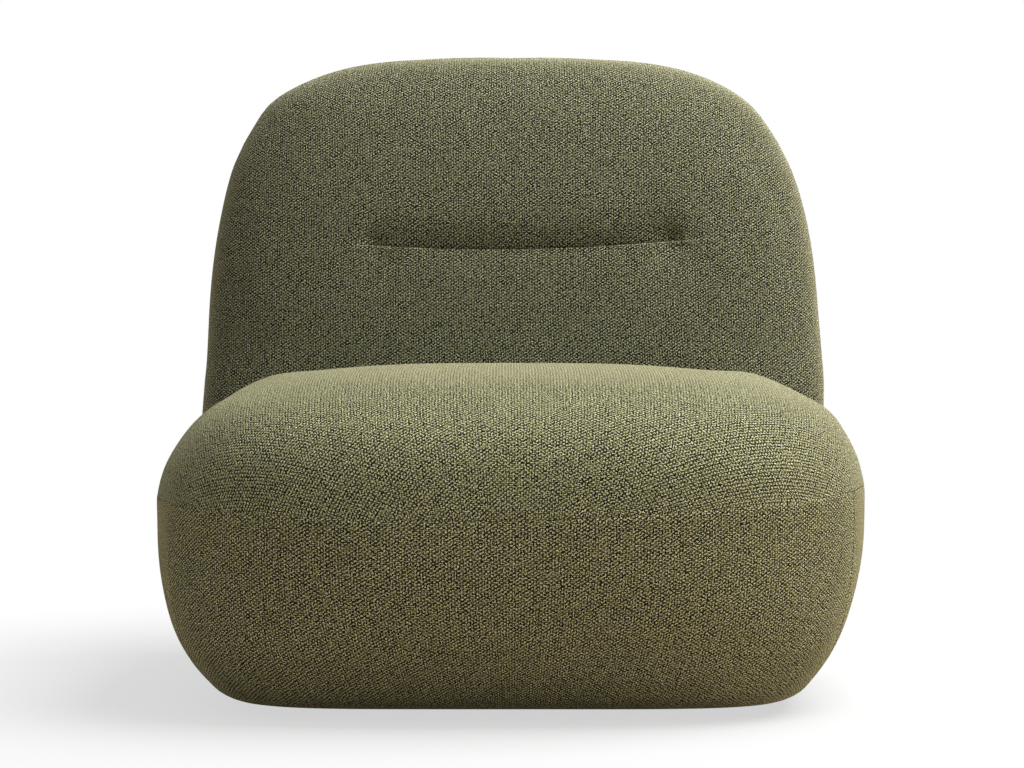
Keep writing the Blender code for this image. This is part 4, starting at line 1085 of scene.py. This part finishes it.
def fleece_reach(angle):
    """Distance from the swivel axis to the straight edge of the fleece along a ray."""
    ways = []
    for axis, part in enumerate((np.cos(angle), np.sin(angle))):
        edge = np.where(part > 0, FLEECE_HIGH[axis], FLEECE_LOW[axis])
        ways.append(np.abs(edge / np.where(np.abs(part) < LEAST_PART, LEAST_PART, part)))
    return np.minimum(*ways)


def fleece_points(angle, share):
    """The fleece: share 0 is the opening and 1 the outer edge. It sags as sin^2 of the way between them,
    and the edges rise and fall from staple to staple."""
    edge = fleece_reach(angle)
    reach = FLEECE_OPENING + (edge - FLEECE_OPENING) * share
    sag = FLEECE_SAG * np.sin(math.pi * share) ** 2
    staples = np.round(2 * math.pi * edge / STAPLE_PITCH)
    pucker = FLEECE_PUCKER * (1 - np.cos(staples * angle)) / 2 * (1 - np.sin(math.pi * share))
    return np.stack([reach * np.cos(angle), reach * np.sin(angle), FLEECE_TOP - sag - pucker], -1)


fleece_corners = [math.atan2(y, x) for x in (FLEECE_LOW[0], FLEECE_HIGH[0])
                  for y in (FLEECE_LOW[1], FLEECE_HIGH[1])]
even_rays = np.linspace(-math.pi, math.pi, FLEECE_RAYS, endpoint=False)
rays = np.sort(np.concatenate([even_rays, fleece_corners]))
ray_angle, ray_share = np.meshgrid(np.append(rays, math.pi), np.linspace(0, 1, FLEECE_RINGS))
fleece = fleece_points(ray_angle, ray_share)
fleece_faces, fleece_flat = grid_faces(FLEECE_RINGS, len(rays), 1, closed=True)
dust_cover = add_piece("dust_cover_fleece", fleece[:, :-1], fleece_faces, fleece_flat, fleece[..., :2],
                       FRAME_HIGH)

# %% [markdown]
# The fleece is spun-bond: fine black fibres laid every way and welded together in small dots. Two noises
# stretched in crossing directions make the fibres, and a cell pattern makes the dots.

# %% Fleece finish
WELD_PITCH = 0.0016
WELD_RADII = (0.22, 0.34)
FIBRES_ACROSS = (260.0, 2600.0, 1.0)
FIBRES_ALONG = (2600.0, 260.0, 1.0)
FLEECE_DARK = (0.006, 0.006, 0.007, 1.0)
FLEECE_LIGHT = (0.030, 0.030, 0.032, 1.0)


def fleece_material():
    """Black spun-bond with crossing fibres and welded dots."""
    wiring = Wiring(bpy.data.materials.new("black_fleece"))
    flat = wiring.add("ShaderNodeUVMap", {"uv_map": "weave"}).outputs["UV"]
    one = wiring.noise(wiring.stretch(flat, FIBRES_ACROSS), 1.0, 3.0)
    two = wiring.noise(wiring.stretch(flat, FIBRES_ALONG), 1.0, 3.0)
    dots = wiring.add("ShaderNodeTexVoronoi", {"voronoi_dimensions": "2D"}, Vector=flat,
                      Scale=1 / WELD_PITCH, Randomness=0.0).outputs["Distance"]
    weld = wiring.remap(dots, *WELD_RADII, 0.0, 1.0)
    height = wiring.math("MULTIPLY", wiring.math("MAXIMUM", one, two), weld)
    colour = wiring.blend(wiring.remap(height, 0.2, 0.8, 0.0, 1.0), FLEECE_DARK, FLEECE_LIGHT)
    return wiring.finish(Base_Color=colour, Roughness=0.85, Normal=wiring.bump(height, 0.6, 0.0004),
                         Sheen_Weight=0.15)


dust_cover.data.materials.append(fleece_material())
fleece_wall = dust_cover.modifiers.new("fleece_thickness", "SOLIDIFY")
fleece_wall.thickness = FLEECE_THICKNESS
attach(dust_cover, "chair")
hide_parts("dust_cover")
print("the fleece is welded every", WELD_PITCH, "m")

# %% [markdown]
# ## Wood
#
# The box and the frame of the back are birch plywood: thin veneers with the grain crosswise in turn. The
# edge shows light and dark plies and the face shows the long grain of the outer veneer. Stripes counted
# along the board's own thin direction give both at once, because on a face that count does not change.
# The corner blocks are solid beech, pinkish with short darker flecks along the grain.

# %% Plywood and beech
PLY = 0.0015
UNIT = np.eye(3)
UPRIGHT = 2
VENEER_DARK = (0.60, 0.43, 0.25, 1.0)
VENEER_LIGHT = (0.71, 0.55, 0.35, 1.0)
VENEER_EDGE = (0.42, 0.28, 0.15, 1.0)
VENEER_FIBRE = (0.40, 0.26, 0.13, 1.0)
BEECH_DARK = (0.50, 0.30, 0.18, 1.0)
BEECH_LIGHT = (0.62, 0.42, 0.27, 1.0)
BEECH_FLECK = (0.27, 0.14, 0.08, 1.0)


def stretched_along(axis, coarse, fine):
    """Scales that draw a noise out along one axis."""
    return tuple(float(value) for value in fine + (coarse - fine) * UNIT[axis])


def grain_noise(wiring, place, axis, coarse, fine, detail):
    """Noise drawn out along one axis."""
    return wiring.noise(wiring.stretch(place, stretched_along(axis, coarse, fine)), 1.0, detail)


def plywood_material(thin, grain):
    """Plywood with its plies counted along one axis and the outer grain along another."""
    wiring = Wiring(bpy.data.materials.new("plywood_" + "xyz"[thin] + "xyz"[grain]))
    place = wiring.add("ShaderNodeTexCoord").outputs["Object"]
    depth = wiring.add("ShaderNodeSeparateXYZ", Vector=place).outputs[thin]
    wave = wiring.math("SINE", wiring.math("MULTIPLY", depth, math.pi / PLY))
    ply = wiring.remap(wave, -0.3, 0.3, 0.0, 1.0)
    fibres = grain_noise(wiring, place, grain, 9.0, 420.0, 4.0)
    bands = grain_noise(wiring, place, grain, 2.0, 45.0, 3.0)
    face = wiring.blend(wiring.remap(bands, 0.3, 0.7, 0.0, 1.0), VENEER_DARK, VENEER_LIGHT)
    edge = wiring.blend(ply, VENEER_EDGE, face)
    colour = wiring.blend(wiring.remap(fibres, 0.35, 0.75, 0.0, 0.35), edge, VENEER_FIBRE)
    return wiring.finish(Base_Color=colour, Roughness=wiring.remap(fibres, 0.3, 0.7, 0.55, 0.75),
                         Normal=wiring.bump(fibres, 0.25, 0.0004))


def beech_material():
    """Solid beech with upright grain and short flecks."""
    wiring = Wiring(bpy.data.materials.new("beech_block"))
    place = wiring.add("ShaderNodeTexCoord").outputs["Object"]
    rings = grain_noise(wiring, place, UPRIGHT, 3.0, 60.0, 3.0)
    flecks = grain_noise(wiring, place, UPRIGHT, 120.0, 900.0, 1.0)
    body = wiring.blend(wiring.remap(rings, 0.3, 0.7, 0.0, 1.0), BEECH_DARK, BEECH_LIGHT)
    colour = wiring.blend(wiring.remap(flecks, 0.60, 0.72, 0.0, 0.7), body, BEECH_FLECK)
    return wiring.finish(Base_Color=colour, Roughness=0.62, Normal=wiring.bump(flecks, 0.2, 0.0003))


print("plies of", PLY, "m")


# %% [markdown]
# ## Metal, nylon and rubber
#
# The bearing plates are zinc plated, which leaves faint cloudy spangles. The screws and the king bolt are
# blackened, the springs are drawn wire with fine streaks, and the balls are polished. A single grey for
# all of them would be simpler, but each has its own brightness and its own roughness pattern. The cage
# and the bush are milky nylon, the foot is a black stained board, and the glides are matt rubber.

# %% Metal, nylon and rubber
METALS = {
    "zinc_steel": ("zinc_plate", (0.52, 0.54, 0.55), (0.68, 0.70, 0.72), 0.38, 0.006, 0.00005),
    "dark_steel": ("blackened_steel", (0.05, 0.05, 0.055), (0.10, 0.10, 0.105), 0.45, 0.002, 0.00004),
    "spring_steel": ("drawn_wire", (0.26, 0.26, 0.27), (0.40, 0.40, 0.41), 0.34, 0.003, 0.00005),
    "ball_steel": ("polished_ball", (0.66, 0.67, 0.69), (0.72, 0.73, 0.75), 0.12, 0.004, 0.00001),
}
PLAIN = {
    "nylon": ("milky_nylon", (0.72, 0.70, 0.64), (0.80, 0.79, 0.74), 0.45, 0.0012, 0.00008, 0.15),
    "black_disc": ("stained_board", (0.010, 0.010, 0.010), (0.022, 0.021, 0.020), 0.55, 0.0015, 0.0002),
    "glide_rubber": ("matt_rubber", (0.014, 0.014, 0.015), (0.028, 0.028, 0.029), 0.80, 0.0007, 0.0002),
}


def metal_material(name, dull, bright, roughness, size, bump_height):
    """Metal whose tone and roughness wander with a cloudy noise of a given size in metres."""
    wiring = Wiring(bpy.data.materials.new(name))
    place = wiring.add("ShaderNodeTexCoord").outputs["Object"]
    cloud = wiring.noise(place, 1 / size, 3.0)
    grain = wiring.noise(place, 8 / size, 2.0)
    colour = wiring.blend(wiring.remap(cloud, 0.35, 0.65, 0.0, 1.0), (*dull, 1.0), (*bright, 1.0))
    shine = wiring.remap(cloud, 0.3, 0.7, roughness * 1.25, roughness * 0.8)
    return wiring.finish(Base_Color=colour, Metallic=1.0, Roughness=shine,
                         Normal=wiring.bump(grain, 0.3, bump_height))


def plain_material(name, low, high, roughness, size, bump_height, see_through=0.0):
    """Plastic, rubber or stained board: two close tones, and a fine grain of a given size in metres."""
    wiring = Wiring(bpy.data.materials.new(name))
    place = wiring.add("ShaderNodeTexCoord").outputs["Object"]
    cloud = wiring.noise(place, 0.1 / size, 3.0)
    grain = wiring.noise(place, 1 / size, 2.0)
    colour = wiring.blend(wiring.remap(cloud, 0.3, 0.7, 0.0, 1.0), (*low, 1.0), (*high, 1.0))
    shine = wiring.remap(grain, 0.3, 0.7, roughness * 0.9, roughness * 1.1)
    return wiring.finish(Base_Color=colour, Roughness=shine, Normal=wiring.bump(grain, 0.4, bump_height),
                         Subsurface_Weight=see_through)


finishes = {slot: metal_material(*values) for slot, values in METALS.items()}
finishes.update({slot: plain_material(*values) for slot, values in PLAIN.items()})
finishes["beech"] = beech_material()
boards = {}
count = 0
for node in frame["nodes"].values():
    slot = node.data.materials[0].name
    if slot == "plywood":
        corners = np.array([corner[:] for corner in node.bound_box])
        order = np.argsort(np.ptp(corners, axis=0))
        key = (int(order[0]), int(order[2]))
        if key not in boards:
            boards[key] = plywood_material(*key)
        node.data.materials[0] = boards[key]
        count += 1
    elif slot in finishes:
        node.data.materials[0] = finishes[slot]
        count += 1
print(count, "frame parts finished in", len(finishes) + len(boards), "materials")
